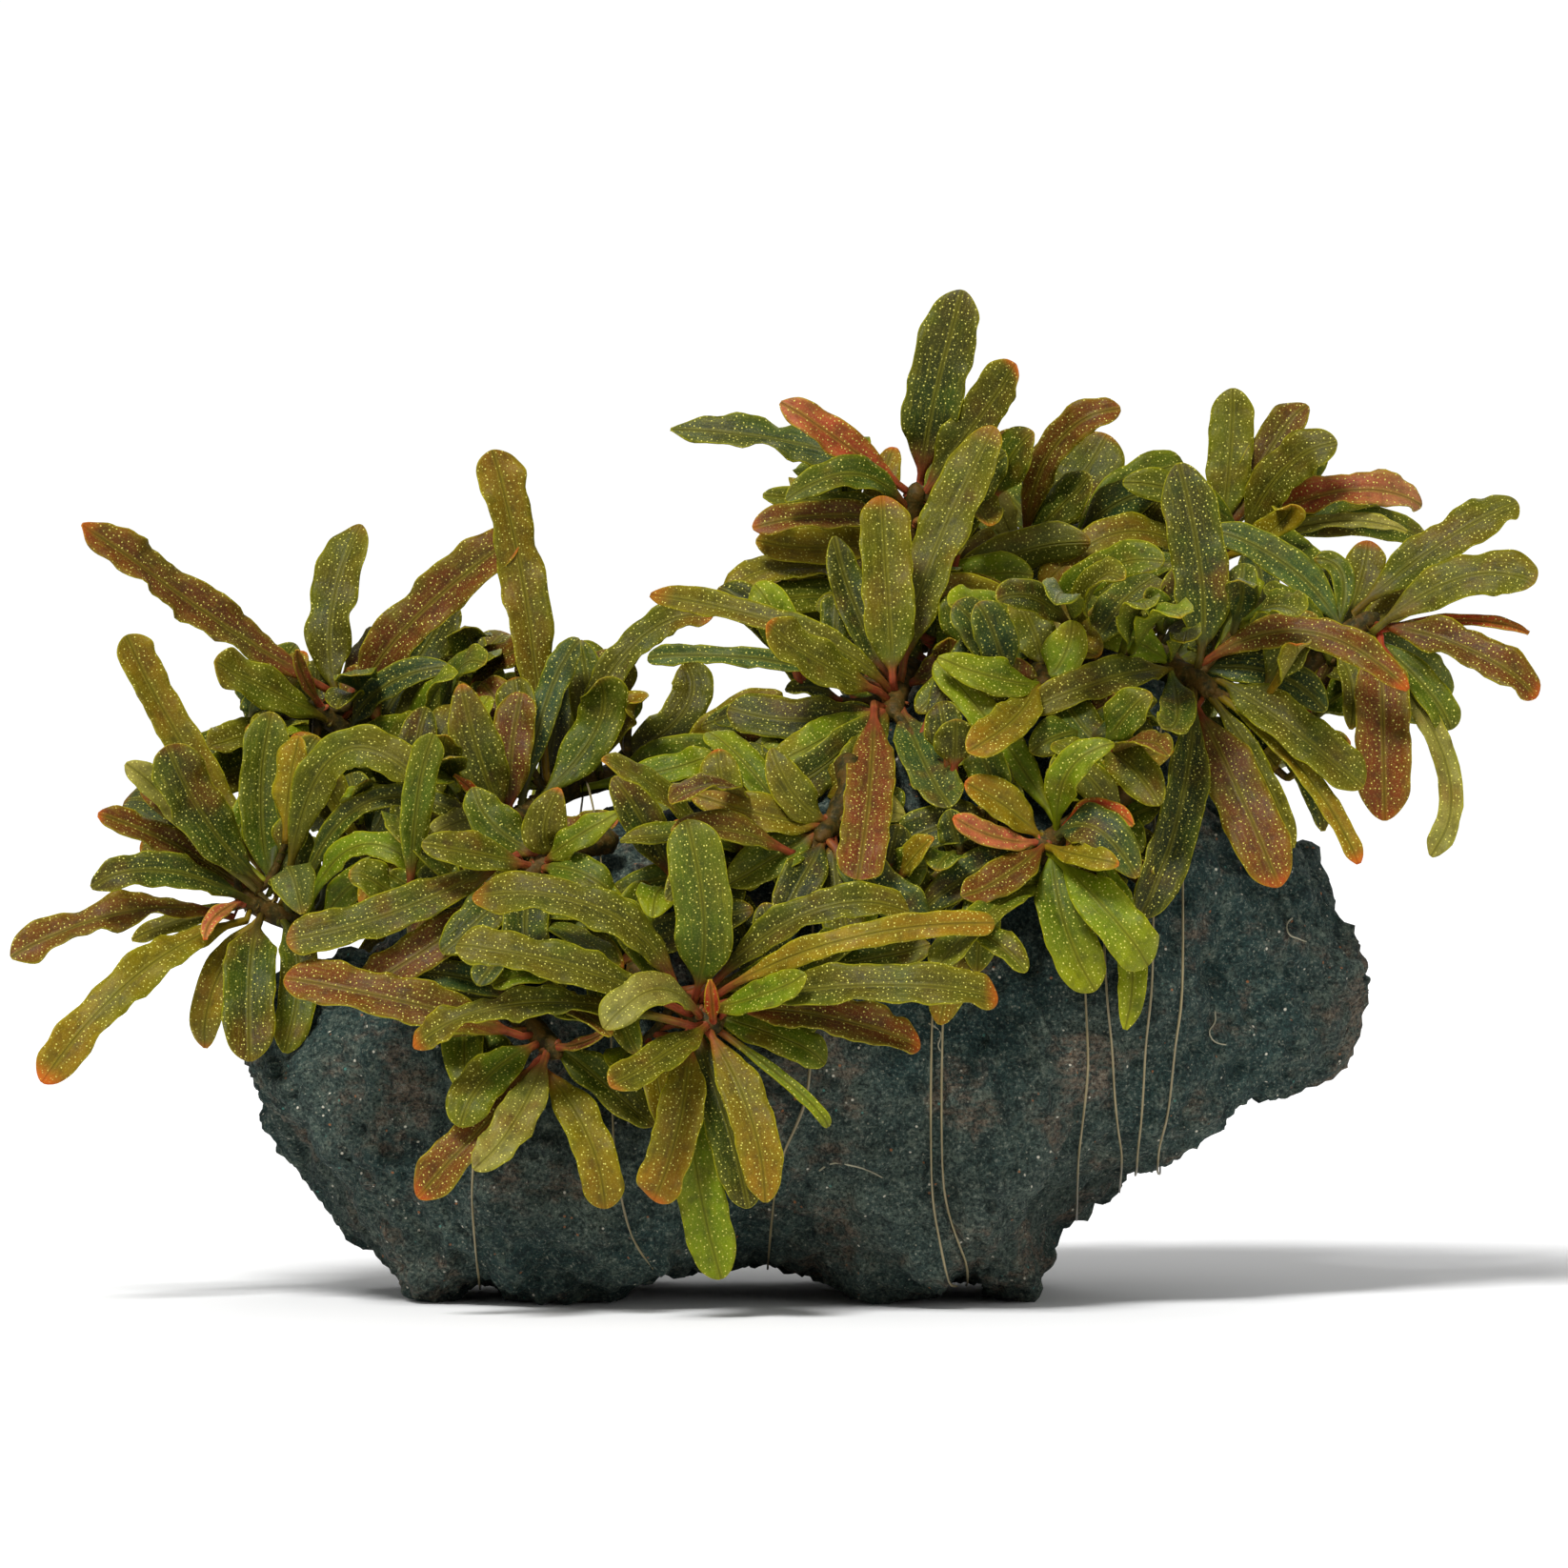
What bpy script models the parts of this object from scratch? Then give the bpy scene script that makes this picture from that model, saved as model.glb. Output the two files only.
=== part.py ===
# Bucephalandra on lava rock: a dark lump of lava with creeping rhizomes tied to it by a wound thread,
# and leaves on short stalks. +X is the rock's long way, -Y the side that is seen, +Z up, and the rock
# stands on z = 0. All sizes below are in millimetres unless a name says otherwise.

import math

import bmesh
import bpy
import numpy as np
from mathutils import Quaternion, Vector, noise
from mathutils.bvhtree import BVHTree

MM = 0.001

# Where the model's origin stands in the measures below: on the ground under the middle of the whole.
ORIGIN = (1.45, -7.25, 0)

# The rock: its outline from the front, as height over x, and its reach to the front and back.
ROCK_LEFT = -57.5
ROCK_RIGHT = 62.5
ROCK_UNDERSIDE = (
    (-57.5, 26), (-56.5, 24), (-54.5, 21), (-49.5, 17), (-46.5, 14.5), (-44.8, 11.5),
    (-42.8, 8.5), (-40, 3.5), (-36.5, -0.9), (-33, -0.9), (-31.2, 1.3), (-28, 1.3), (-26.2, -0.9),
    (-16, -0.9), (-13.5, 2.6), (-8, 3.2), (-3.5, 3.3), (1, 2.4), (6, 2.4), (10, -0.9), (17.2, -0.9),
    (19, 1.3), (22.6, 1.3), (24.4, -0.9), (28.6, -0.9), (30.2, 6.8), (33, 11), (38.5, 13),
    (43.7, 18), (52, 22.4), (58, 23.6), (61.3, 27), (62.5, 32),
)
# Rings that stand at the edges of the feet, and of the grooves in which the tie line passes under them.
FOOT_EDGES = (-36.5, -33, -31.2, -28, -26.2, -16, 10, 17.2, 19, 22.6, 24.4, 28.6, 30.2)
ROCK_TOP = (
    (-57.5, 28), (-55, 32.5), (-50, 33.5), (-43, 34.2), (-39.5, 35), (-35, 39), (-30, 43), (-24, 47),
    (-18, 49.5), (-10, 50.5), (0, 54), (10, 60), (20, 66), (30, 69), (37, 69), (42, 66), (46, 60),
    (50, 54), (55.5, 47.5), (58, 39.8), (61, 37), (62.5, 33.5),
)
ROCK_FRONT = (
    (-57.5, -5), (-54, -13), (-50, -17), (-45, -20), (-40, -25), (-30, -31), (-20, -34), (-10, -36),
    (10, -36), (20, -35), (30, -32), (40, -28), (50, -22), (58, -14), (62.5, -4),
)
ROCK_BACK = (
    (-57.5, -3), (-54, 7), (-50, 12), (-40, 21), (-30, 28), (-15, 33), (0, 35), (15, 37), (30, 35), (40, 30),
    (50, 22), (58, 12), (62.5, -3),
)
ROCK_RINGS = 27
ROCK_SIDES = 36
RING_SPACE = 1.6
ROCK_SQUARENESS = 2.6
ROCK_LEAN = 0.12
LUMP_SIZE = 17
LUMP_HEIGHT = 5.2
KNOB_SIZE = 7.5
KNOB_HEIGHT = 3.2
FOOT_CALM = 5

# The rhizomes: thickness, and the gap that every piece keeps to the next.
RHIZOME_RADIUS = 1.5
RHIZOME_SIDES = 5
RHIZOME_RINGS = 5
GAP = 0.35

# The tie line and where each turn runs: x at the rock's top, front and underside.
THREAD_RADIUS = 0.17
THREAD_SIDES = 3
THREAD_GAP = 0.5
TURN_STEPS = 72
SHORTEST_STRETCH = 4
EASING_ROUNDS = 24
EASING_PLACES = 15
TURNS = (
    (-30, -29.8, -29.6),
    (-17, -15.5, -10.5),
    (5.5, 5.2, 0.6),
    (20.4, 17.5, 20.3),
    (21.8, 18.6, 21.4),
    (32.2, 33.8, 33.0),
    (34, 36, 37.6),
    (42.6, 40.3, 39.2),
    (44.6, 43.6, 41.4),
)

# The leaves: stalk and blade, and how a leaf bends away until it is clear of those before it.
STALK_HALF = 0.42
BLADE_THICKNESS = 0.5
BLADE_CUP = 0.22
WAVES = 2.6
CLEARANCE = 0.24
BENDS = (0, -1.5, 1.5, -3, 3, -4.5, 4.5, -6, 6, -7.5, 7.5, -9, 9, -11, 11, -13, 13)
SLIDES = (0, 0.9, 1.8, -0.9, 2.7, 3.6)
ROLLS = (0, 25, -25, 50, -50)
LARGE_STATIONS = (0, 0.17, 0.42, 0.68, 0.93)
SMALL_STATIONS = (0, 0.42, 0.88)

COLOURS = {
    "green": (0.09, 0.12, 0.02),
    "bright": (0.17, 0.23, 0.02),
    "olive": (0.13, 0.12, 0.025),
    "dark": (0.03, 0.05, 0.015),
    "teal": (0.04, 0.07, 0.05),
    "brown": (0.14, 0.075, 0.02),
    "red": (0.3, 0.06, 0.025),
    "ochre": (0.28, 0.17, 0.03),
    "stem": (0.12, 0.1, 0.03),
    "thread": (0.3, 0.27, 0.2),
    "lava": (0.018, 0.026, 0.032),
}

# Each rhizome: the way it faces (-1 to the front, 1 to the back), whether it creeps on the rock, and
# its route from its old end to its growing crown.
RHIZOMES = {
    "front_centre": (-1, True, ((-13, -36.5, 36), (-9, -39, 33), (-5, -42, 30.3))),
    "front_left": (-1, True, ((-27, -33.5, 33), (-24, -36, 30), (-21.5, -38.5, 27.5))),
    "left": (-1, False, ((-37, -8, 42), (-46, -10, 39.5), (-54.5, -12, 42.3))),
    "upper_left": (-1, False, ((-27, 5, 50), (-37, 8, 54), (-47, 6, 61.5))),
    "mid_left": (-1, True, ((-11, 2, 54), (-18, -3, 54), (-27.5, -13, 49.5))),
    "centre": (-1, True, ((15.5, -8, 66), (14.5, -15, 65), (13.8, -21, 62))),
    "top": (-1, False, ((17, 3, 68.5), (15.5, 2, 77), (16.2, 0, 84.5))),
    "right": (-1, True, ((39, -10, 66), (43.5, -13, 66), (46.8, -16, 64.3))),
    "far_right": (-1, False, ((51.5, -6, 60), (57, -7, 66.5), (64, -8, 71.3))),
    "mid_right": (-1, True, ((39, -24, 54), (34, -28, 51.5), (29, -32, 48.5))),
    "upper_right": (-1, False, ((41, 10, 69.5), (46, 12, 74), (49, 10, 80))),
    "back_top": (-1, False, ((26, 15, 73), (27, 15, 76), (27.5, 13, 79))),
    "mid_front": (-1, True, ((-16, -28, 49), (-20, -30, 48), (-24.5, -32, 45.5))),
    "inner_centre": (-1, True, ((10, -28, 54), (8.5, -31, 52), (6, -34, 49))),
    "upper_mid": (-1, True, ((27.5, -13, 69.5), (29, -17.5, 67.5), (29.5, -22, 64.5))),
    "back_left": (1, True, ((-22, 26, 42), (-16, 31, 39), (-9, 34, 36))),
    "back_right": (1, True, ((38, 26, 50), (33, 31, 48), (27, 35, 45))),
}

# Each large leaf: rhizome, seat back from the crown, a point halfway, tip, width, roll, wave, colour.
LEAVES = {
    "leaf_upper_left_1": ("upper_left", 0.0, (-59, 2, 71.8), (-71, -3, 81.3), 4.8, 5, 0.7, "brown"),
    "leaf_upper_left_2": ("upper_left", 1.5, (-45.5, 10, 71), (-42.5, 14, 80.6), 5, -10, 0.7, "olive"),
    "leaf_upper_left_3": ("upper_left", 3.0, (-37, 3, 70.5), (-25.5, 0, 79.8), 5.4, 5, 0.6, "brown"),
    "leaf_left_1": ("left", 1.0, (-58.5, -17, 51), (-62, -20, 58.5), 5.8, 0, 0.4, "dark"),
    "leaf_left_2": ("left", 2.5, (-52.6, -10, 52), (-51.5, -8, 61.5), 4.8, 10, 0.3, "green"),
    "leaf_left_3": ("left", 0.0, (-67, -16, 40.8), (-78.5, -18, 36), 4, 15, 0.8, "brown"),
    "leaf_left_4": ("left", 1.2, (-65, -21, 34.8), (-75.2, -25, 23.5), 4.3, 0, 0.7, "ochre"),
    "leaf_left_5": ("left", 2.4, (-53.6, -19, 34.5), (-53.5, -22, 25.5), 5.5, 0, 0.3, "dark"),
    "leaf_left_6": ("left", 4.0, (-45, -17, 57), (-36.3, -19, 55.1), 4.5, 10, 0.4, "olive"),
    "leaf_left_7": ("left", 3.5, (-60.5, -6, 57.5), (-67, -5, 69.5), 4, 0, 0.3, "ochre"),
    "leaf_mid_left_1": ("mid_left", 9.0, (-25, -2, 74), (-28.5, 1, 88.8), 4.8, 10, 0.8, "ochre"),
    "leaf_mid_left_2": ("mid_left", 11.0, (-14, -3, 67.8), (-5.3, -4, 71.8), 3.5, 0, 0.4, "olive"),
    "leaf_front_centre_1": ("front_centre", 3.2, (-6, -46, 41.5), (-7.8, -46, 52), 6, 0, 0.3, "green"),
    "leaf_front_centre_2": ("front_centre", 4.4, (-16, -47, 42.3), (-30.3, -44, 44.3), 4.8, 10, 0.4, "olive"),
    "leaf_front_centre_3": ("front_centre", 2.4, (-20, -50, 37), (-31.5, -49, 38.8), 4.5, 0, 0.4, "olive"),
    "leaf_front_centre_4": ("front_centre", 0.8, (-24, -48, 33), (-36.3, -47, 28.5), 3.4, 10, 0.7, "olive"),
    "leaf_front_centre_5": ("front_centre", 3.0, (4.5, -44, 42), (15.5, -43, 42.5), 3.8, 0, 0.4, "olive"),
    "leaf_front_centre_6": ("front_centre", 1.8, (8, -49, 39.5), (24.2, -47, 41.3), 2.8, 15, 0.6, "ochre"),
    "leaf_front_centre_7": ("front_centre", 0.6, (11, -51, 35), (24.5, -50, 33.8), 4.6, 0, 0.4, "olive"),
    "leaf_front_centre_8": ("front_centre", 0.0, (6, -47, 31.6), (16.5, -46, 28.3), 4.6, 0, 0.5, "brown"),
    "leaf_front_centre_9": ("front_centre", 1.2, (-8.5, -49, 21), (-11, -48, 12.6), 4.8, 0, 0.3, "ochre"),
    "leaf_front_centre_10": ("front_centre", 2.2, (-7, -46, 17), (-4.3, -44, 4.3), 5, 0, 0.2, "bright"),
    "leaf_front_left_1": ("front_left", 0.0, (-28, -44, 21), (-36, -45, 12.8), 4.6, 0, 0.4, "brown"),
    "leaf_front_left_2": ("front_left", 1.2, (-18.3, -43, 19.5), (-16.2, -43, 11.3), 4.3, 0, 0.3, "ochre"),
    "leaf_front_left_3": ("front_left", 3.0, (-36, -41, 32.5), (-49.7, -38, 35.1), 5, 0, 0.4, "brown"),
    "leaf_centre_1": ("centre", 2.6, (13.2, -19, 73.5), (12.5, -16, 84.5), 5.4, 0, 0.4, "olive"),
    "leaf_centre_2": ("centre", 4.2, (17.5, -12, 77), (24.5, -8, 91.5), 5.5, -10, 0.5, "olive"),
    "leaf_centre_3": ("centre", 1.4, (6, -26, 67.5), (0.3, -29, 71.5), 5, 0, 0.3, "olive"),
    "leaf_centre_4": ("centre", 0.0, (11.2, -29, 54.5), (10, -33, 46), 5.1, 0, 0.3, "red"),
    "leaf_top_1": ("top", 0.0, (18.3, -1, 95), (21.2, 0, 105.5), 6.2, 0, 0.4, "dark"),
    "leaf_top_2": ("top", 1.6, (7, 3, 88.5), (-9.7, 6, 90.8), 4.8, 10, 0.9, "teal"),
    "leaf_right_1": ("right", 2.4, (46, -14, 76), (43.7, -11, 87.8), 5.9, 0, 0.3, "dark"),
    "leaf_right_2": ("right", 0.0, (49.5, -22, 54.5), (54, -26, 44), 6, 0, 0.3, "brown"),
    "leaf_right_3": ("right", 1.2, (54.5, -19, 61), (62.7, -21, 54.1), 5, 0, 0.3, "olive"),
    "leaf_far_right_1": ("far_right", 1.6, (71, -5, 79), (79.5, -3, 83.3), 4.6, 0, 0.6, "olive"),
    "leaf_far_right_2": ("far_right", 0.6, (73.5, -11, 75.8), (81, -13, 75), 5, 0, 0.5, "olive"),
    "leaf_far_right_3": ("far_right", 0.0, (65, -14, 62), (65.2, -17, 50.6), 5.8, 0, 0.3, "red"),
    "leaf_mid_right_1": ("mid_right", 0.0, (36, -39, 42), (40.5, -39, 36.3), 5.2, 0, 0.3, "bright"),
    "leaf_upper_right_1": ("upper_right", 0.0, (54.5, 5, 86), (60.2, 2, 89.8), 5, 0, 0.3, "olive"),
    "leaf_mid_front_1": ("mid_front", 0.4, (-38, -37, 42), (-49.5, -38, 39.1), 4.6, 0, 0.3, "olive"),
    "leaf_back_top_1": ("back_top", 0.0, (33, 16, 84.5), (36.5, 19, 89.6), 7.2, 0, 0.5, "olive"),
}

# Each young, short or half-hidden leaf, by the rhizome that it has grown out of: seat back from the
# crown, a point halfway, tip, width, roll, wave.
YOUNG = {
    "upper_left": (
        (2.0, (-52.6, 1, 63.8), (-57.8, -2, 66.5), 4.8, 0, 0.3),
        (4.5, (-40, 3, 63.6), (-33, 1, 66.3), 3.5, 0, 0.2),
        (0.5, (-48.4, 4, 65), (-49, 3, 68), 1.6, 0, 0),
        (7.0, (-37.5, 10, 64.5), (-32.4, 11, 72.5), 5.4, 0, 0.3),
        (5.5, (-44, 1, 57.8), (-46.5, -1, 55), 2.4, 0, 0.2),
        (9.0, (-40, 12, 50), (-44, 15, 45), 4.4, 0, 0.2),
    ),
    "left": (
        (3.0, (-60.5, -15, 51), (-66.5, -17, 56.6), 3.2, 0, 0.3),
        (2.2, (-62, -13, 48), (-69.7, -14, 50.8), 3.2, 0, 0.4),
        (1.6, (-62.5, -18, 45.3), (-70.3, -20, 43.8), 4, 0, 0.4),
        (0.8, (-60.5, -14, 40), (-66.3, -15, 37.8), 2.4, 0, 0.2),
        (0.2, (-57.3, -17, 40.4), (-58.2, -19, 38.1), 1.8, 0, 0),
        (3.0, (-57, -20, 34), (-58.5, -22, 26.1), 3.6, 0, 0.3),
        (4.6, (-48.5, -15, 35), (-50, -17, 26.2), 4, 0, 0.4),
        (5.2, (-49.6, -17, 45.5), (-48, -21, 41), 4.8, 0, 0.2),
        (6.0, (-42, -16, 52), (-31.5, -17, 50.8), 2.6, 0, 0.2),
        (7.0, (-42, -18, 48), (-34.2, -20, 43.8), 3, 0, 0.3),
        (8.0, (-44, 2, 47), (-48, 8, 50), 4.4, 0, 0.3),
        (4.0, (-60, 0, 46), (-66, 5, 47), 4.2, 0, 0.3),
    ),
    "mid_left": (
        (1.0, (-29.6, -14, 57), (-31.5, -12, 64.5), 5.4, 0, 0.3),
        (1.8, (-26.3, -11, 57.5), (-25.2, -9, 63.6), 4.4, 0, 0.3),
        (3.6, (-22.5, -7, 63), (-19, -6, 69), 3.2, 0, 0.3),
        (5.4, (-17.5, -7, 59.5), (-17.3, -8, 65.1), 5, 0, 0.3),
        (0.6, (-31, -17, 50.6), (-35, -19, 48.8), 3.4, 0, 0.2),
        (0.2, (-30, -17, 53.4), (-32.3, -18, 55.1), 1.4, 0, 0),
        (3.0, (-20.5, -13, 49.5), (-15.2, -15, 50.8), 3, 0, 0.3),
        (12.0, (-9.5, -6, 55.5), (-5.8, -8, 57), 3.4, 0, 0.2),
        (7.4, (-15.5, -2, 60), (-12.8, -2, 63), 3.6, 0, 0.2),
        (6.6, (-22, 2, 62), (-26, 5, 66), 4.2, 0, 0.3),
        (13.0, (-9, 6, 60), (-8, 8, 66), 4.4, 0, 0.3),
        (10.0, (-16, 8, 58), (-20, 14, 58), 4.4, 0, 0.3),
    ),
    "front_centre": (
        (1.4, (-11, -51, 34.5), (-16, -54, 30.5), 4.4, 0, 0.2),
        (0.4, (-10, -48, 28), (-15.7, -50, 24.8), 3.8, 0, 0.2),
        (0.0, (-5.2, -45, 33), (-5.4, -46, 35.4), 1.6, 0, 0),
        (0.3, (-4, -46, 26), (-3.8, -47, 22.3), 1.6, 0, 0),
        (2.6, (1.5, -43, 29.4), (6.8, -44, 26.8), 4, 0, 0.2),
        (3.4, (-3.6, -45, 20.5), (-1.5, -44, 11.8), 5, 0, 0.3),
        (1.6, (3.4, -45, 24), (7.2, -45, 19.6), 1.4, 0, 0),
        (2.0, (0.4, -48, 34), (4.6, -50, 36), 3.8, 0, 0.2),
        (5.4, (4, -41, 37), (8.6, -41, 40.4), 3.8, 0, 0.2),
        (6.4, (8, -40, 36.6), (17.5, -40, 38.6), 4, 0, 0.3),
        (1.0, (-1.4, -49, 22), (0.4, -49, 12.6), 4.6, 0, 0.3),
        (6.8, (-13, -44, 39.5), (-15, -45, 43.6), 3.8, 0, 0.2),
    ),
    "front_left": (
        (1.8, (-28.6, -42, 25), (-31.2, -44, 20.3), 4.8, 0, 0.2),
        (0.6, (-25.4, -45, 21), (-29.8, -47, 15.8), 4.3, 0, 0.5),
        (0.0, (-18.6, -42, 28.6), (-15.8, -43, 30), 1.4, 0, 0),
        (3.8, (-29, -40, 29.6), (-34, -41, 28.8), 1.8, 40, 0.2),
        (2.4, (-16.5, -40, 24.3), (-11.6, -40, 19.8), 4, 0, 0.2),
    ),
    "centre": (
        (0.6, (5, -26, 61.3), (-3.5, -27, 62.3), 5, 0, 0.3),
        (2.0, (6.4, -25, 59.4), (0.7, -26, 56.5), 4.4, 0, 0.2),
        (0.2, (7.6, -29, 57.6), (1.5, -31, 53.8), 4.6, 0, 0.2),
        (0.8, (10, -31, 57.4), (6.5, -34, 54.3), 3.8, 0, 0.2),
        (3.0, (4.6, -22, 70.4), (-11.7, -15, 74.1), 3, 0, 0.3),
        (3.6, (0, -22, 67.6), (-11.8, -20, 67.5), 2.2, 0, 0.3),
        (4.8, (10, -15, 72.4), (7.5, -13, 80.1), 4, 0, 0.3),
        (1.6, (16.8, -25, 57.4), (19.6, -29, 52.3), 4.8, 0, 0.3),
        (5.6, (18.6, -15, 66.6), (19.6, -17, 69.4), 3.2, 0, 0.2),
        (6.4, (8, -3, 68), (3, 0, 72), 4.4, 0, 0.3),
    ),
    "top": (
        (1.0, (22.3, 3, 91.5), (27, 5, 98.1), 4.8, 0, 0.4),
        (0.4, (8.2, -3, 89.8), (2, -4, 94.1), 3.8, 0, 0.4),
        (2.2, (9.6, -4, 86.4), (2.5, -6, 83.5), 3.8, 0, 0.3),
        (3.0, (9.6, 1, 83), (0, 0, 83.8), 2.6, 0, 0.2),
        (4.0, (8, -4, 82), (-1, -7, 81), 3.4, 0, 0.3),
        (5.2, (7, -2, 78.6), (-0.8, -4, 79.2), 4.4, 0, 0.3),
        (6.6, (8, 2, 75.6), (0.3, 2, 74.8), 3, 0, 0.3),
        (3.4, (19, -5, 81.4), (20.6, -8, 78), 4, 0, 0.2),
        (7.4, (19, 8, 84), (20, 14, 90), 4.6, 0, 0.3),
        (8.6, (11, 9, 80), (6, 15, 83), 4.6, 0, 0.3),
    ),
    "right": (
        (0.4, (51.8, -19, 56.4), (55.4, -20, 47.8), 2.4, 0, 0.2),
        (1.8, (55, -15, 58), (58.8, -16, 49.4), 2.6, 0, 0.2),
        (0.8, (56, -20, 56.6), (62.3, -22, 46.2), 2.2, 0, 0.2),
        (3.2, (56.5, -18, 70.4), (67.4, -20, 64.2), 3.6, 10, 0.6),
        (3.8, (53, -14, 66), (59, -15, 62), 4, 0, 0.3),
        (4.8, (36.5, -20, 65.6), (26.6, -21, 61.9), 4.2, 0, 0.3),
        (5.6, (38.6, -14, 69.4), (32.5, -13, 70.6), 4.2, 0, 0.2),
        (4.2, (43.4, -21, 62), (41.6, -24, 60.8), 3.8, 0, 0.2),
        (2.8, (43.5, -26, 52), (39.2, -29, 41), 4.8, 0, 0.2),
    ),
    "far_right": (
        (2.4, (73, -9, 71.2), (80.4, -11, 70), 1.4, 0, 0),
        (0.3, (73.4, -15, 68.6), (81.4, -18, 63.6), 4.3, 0, 0.5),
        (3.4, (55.5, -6, 76.6), (46.5, -5, 81), 4, 0, 0.2),
        (4.2, (61, -4, 75.6), (58.2, -2, 77.2), 2.4, 0, 0.2),
        (1.4, (69.4, -11, 64.4), (72.2, -12, 59.8), 3.4, 0, 0.2),
        (2.0, (71.5, -13, 57), (70.3, -14, 46.6), 2.6, 0, 0.3),
        (5.0, (61.8, -12, 64.6), (61.6, -15, 60.3), 2.2, 0, 0.2),
        (3.0, (68, -2, 67), (72, 3, 62), 4.4, 0, 0.3),
        (6.4, (62, 1, 72), (64, 6, 79), 4.4, 0, 0.3),
    ),
    "mid_right": (
        (1.2, (31.4, -39, 41), (34.5, -41, 33.8), 5.2, 0, 0.3),
        (2.4, (32, -36, 56.6), (36.5, -36, 59.1), 3.8, 0, 0.2),
        (3.4, (24.4, -27, 60.4), (18.2, -24, 67.6), 3.8, 0, 0.2),
        (0.6, (25, -34, 53), (21, -35, 55.1), 4.2, 0, 0.2),
        (1.8, (34.6, -36, 50.6), (39, -37, 45.5), 5.2, 0, 0.2),
        (0.2, (33.4, -38, 47.8), (37, -40, 47.3), 2.8, 0, 0.1),
        (3.0, (34.6, -33, 52.6), (38.7, -34, 50.8), 2, 0, 0),
        (0.0, (24.4, -36, 49.6), (19.8, -38, 51.8), 2.8, 0, 0.1),
        (0.9, (22.4, -37, 46.2), (16.6, -38, 42.3), 4.3, 0, 0.2),
        (0.4, (25.4, -38, 45.8), (20.7, -41, 43.4), 4.2, 0, 0.2),
        (4.2, (38, -33, 40), (37.8, -34, 29.6), 3, 0, 0.4),
    ),
    "upper_right": (
        (1.0, (49.4, 12, 87.6), (49.8, 14, 94.8), 4.8, 0, 0.2),
        (2.0, (53.4, 12, 88), (57.5, 13, 93.5), 4.2, 0, 0.4),
        (0.4, (61, 3, 84.2), (69.5, 1, 82.6), 3.8, 0, 0.6),
        (2.8, (60, 7, 81), (67.8, 6, 79.7), 1.8, 0, 0.2),
        (3.6, (54, 5, 80.4), (55.6, 3, 83.2), 3.4, 0, 0.2),
        (4.4, (38, 4, 80), (29.6, 3, 74), 4, 0, 0.3),
        (5.6, (40.8, 2, 76.6), (34, 0, 71.8), 3, 0, 0.2),
        (1.6, (52, 17, 84), (56, 24, 84), 4.6, 0, 0.3),
    ),
    "back_top": (
        (0.8, (31.4, 9, 82.4), (35, 7, 85.6), 4.8, 0, 0.2),
        (1.4, (25.2, 11, 82), (23.5, 11, 86), 3.2, 0, 0.2),
        (2.2, (24, 7, 78.6), (20, 5, 74.8), 3.4, 0, 0.3),
        (1.8, (30.6, 7, 88.6), (37.8, 5, 93.3), 3.8, 0, 0.4),
        (3.0, (30, 20, 80), (33, 26, 83), 4.6, 0, 0.3),
        (3.6, (24, 21, 80), (20, 27, 82), 4.6, 0, 0.3),
    ),
    "mid_front": (
        (1.6, (-19, -36, 46), (-15, -37, 43.4), 4, 0, 0.2),
        (2.4, (-19.5, -35, 49.5), (-14.8, -35, 52), 3.4, 0, 0.3),
        (1.0, (-30, -34, 48), (-35.4, -33, 49), 4.2, 0, 0.2),
        (0.2, (-29, -37, 41.5), (-33, -38, 37.6), 4.6, 0, 0.3),
        (0.0, (-34, -37, 38.6), (-42, -38, 33.6), 4.6, 0, 0.3),
        (2.8, (-27.8, -31, 50.5), (-30, -30, 54.6), 4.8, 0, 0.3),
        (3.6, (-22.6, -33, 50.5), (-21, -33, 54.6), 4.8, 0, 0.3),
        (0.6, (-24.6, -38, 41), (-24, -41, 36.6), 4.8, 0, 0.2),
        (5.0, (-17.8, -37, 43.8), (-12.5, -39, 40), 4.6, 0, 0.2),
    ),
    "inner_centre": (
        (0.6, (1, -37, 47.4), (-3.6, -39, 44.6), 4.8, 0, 0.2),
        (1.2, (0, -36, 52), (-7.5, -35, 54.2), 4.4, 0, 0.3),
        (2.0, (3.4, -35, 54), (1, -34, 59), 4.4, 0, 0.2),
        (2.8, (10.6, -35, 52.4), (15, -36, 52), 4.4, 0, 0.2),
        (0.0, (12, -38, 44.6), (17.5, -38, 40.4), 4.8, 0, 0.3),
        (0.4, (4, -39, 45), (1.6, -41, 40.6), 4.6, 0, 0.2),
        (1.6, (8, -39, 43.8), (9, -41, 39), 4.6, 0, 0.2),
    ),
    "upper_mid": (
        (1.2, (31.6, -21, 68), (32.5, -20, 71.5), 4.6, 0, 0.2),
        (0.4, (24.6, -26, 65.8), (18.4, -26, 67.8), 4.4, 0, 0.2),
        (0.0, (26, -28, 61.5), (21.6, -31, 59), 4.4, 0, 0.2),
        (1.6, (33.4, -28, 60.8), (37, -31, 58), 4.4, 0, 0.2),
        (3.0, (28.6, -19, 70), (26.5, -18, 74.4), 4.4, 0, 0.3),
    ),
    "back_left": (
        (0.0, (-3, 39, 32), (1, 42, 24), 4.8, 0, 0.3),
        (1.5, (-12, 40, 31), (-14, 44, 22), 4.8, 0, 0.3),
        (3.0, (-2, 38, 42), (5, 42, 46), 4.6, 0, 0.3),
        (4.5, (-10, 40, 45), (-9, 43, 54), 5, 0, 0.3),
        (6.5, (-21, 38, 45), (-26, 42, 50), 4.6, 0, 0.3),
        (8.5, (-26, 35, 38), (-34, 37, 36), 4.6, 0, 0.3),
        (5.6, (-21, 36, 32), (-27, 39, 26), 4.6, 0, 0.3),
    ),
    "back_right": (
        (0.0, (21, 41, 42), (15, 45, 37), 4.8, 0, 0.3),
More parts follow.
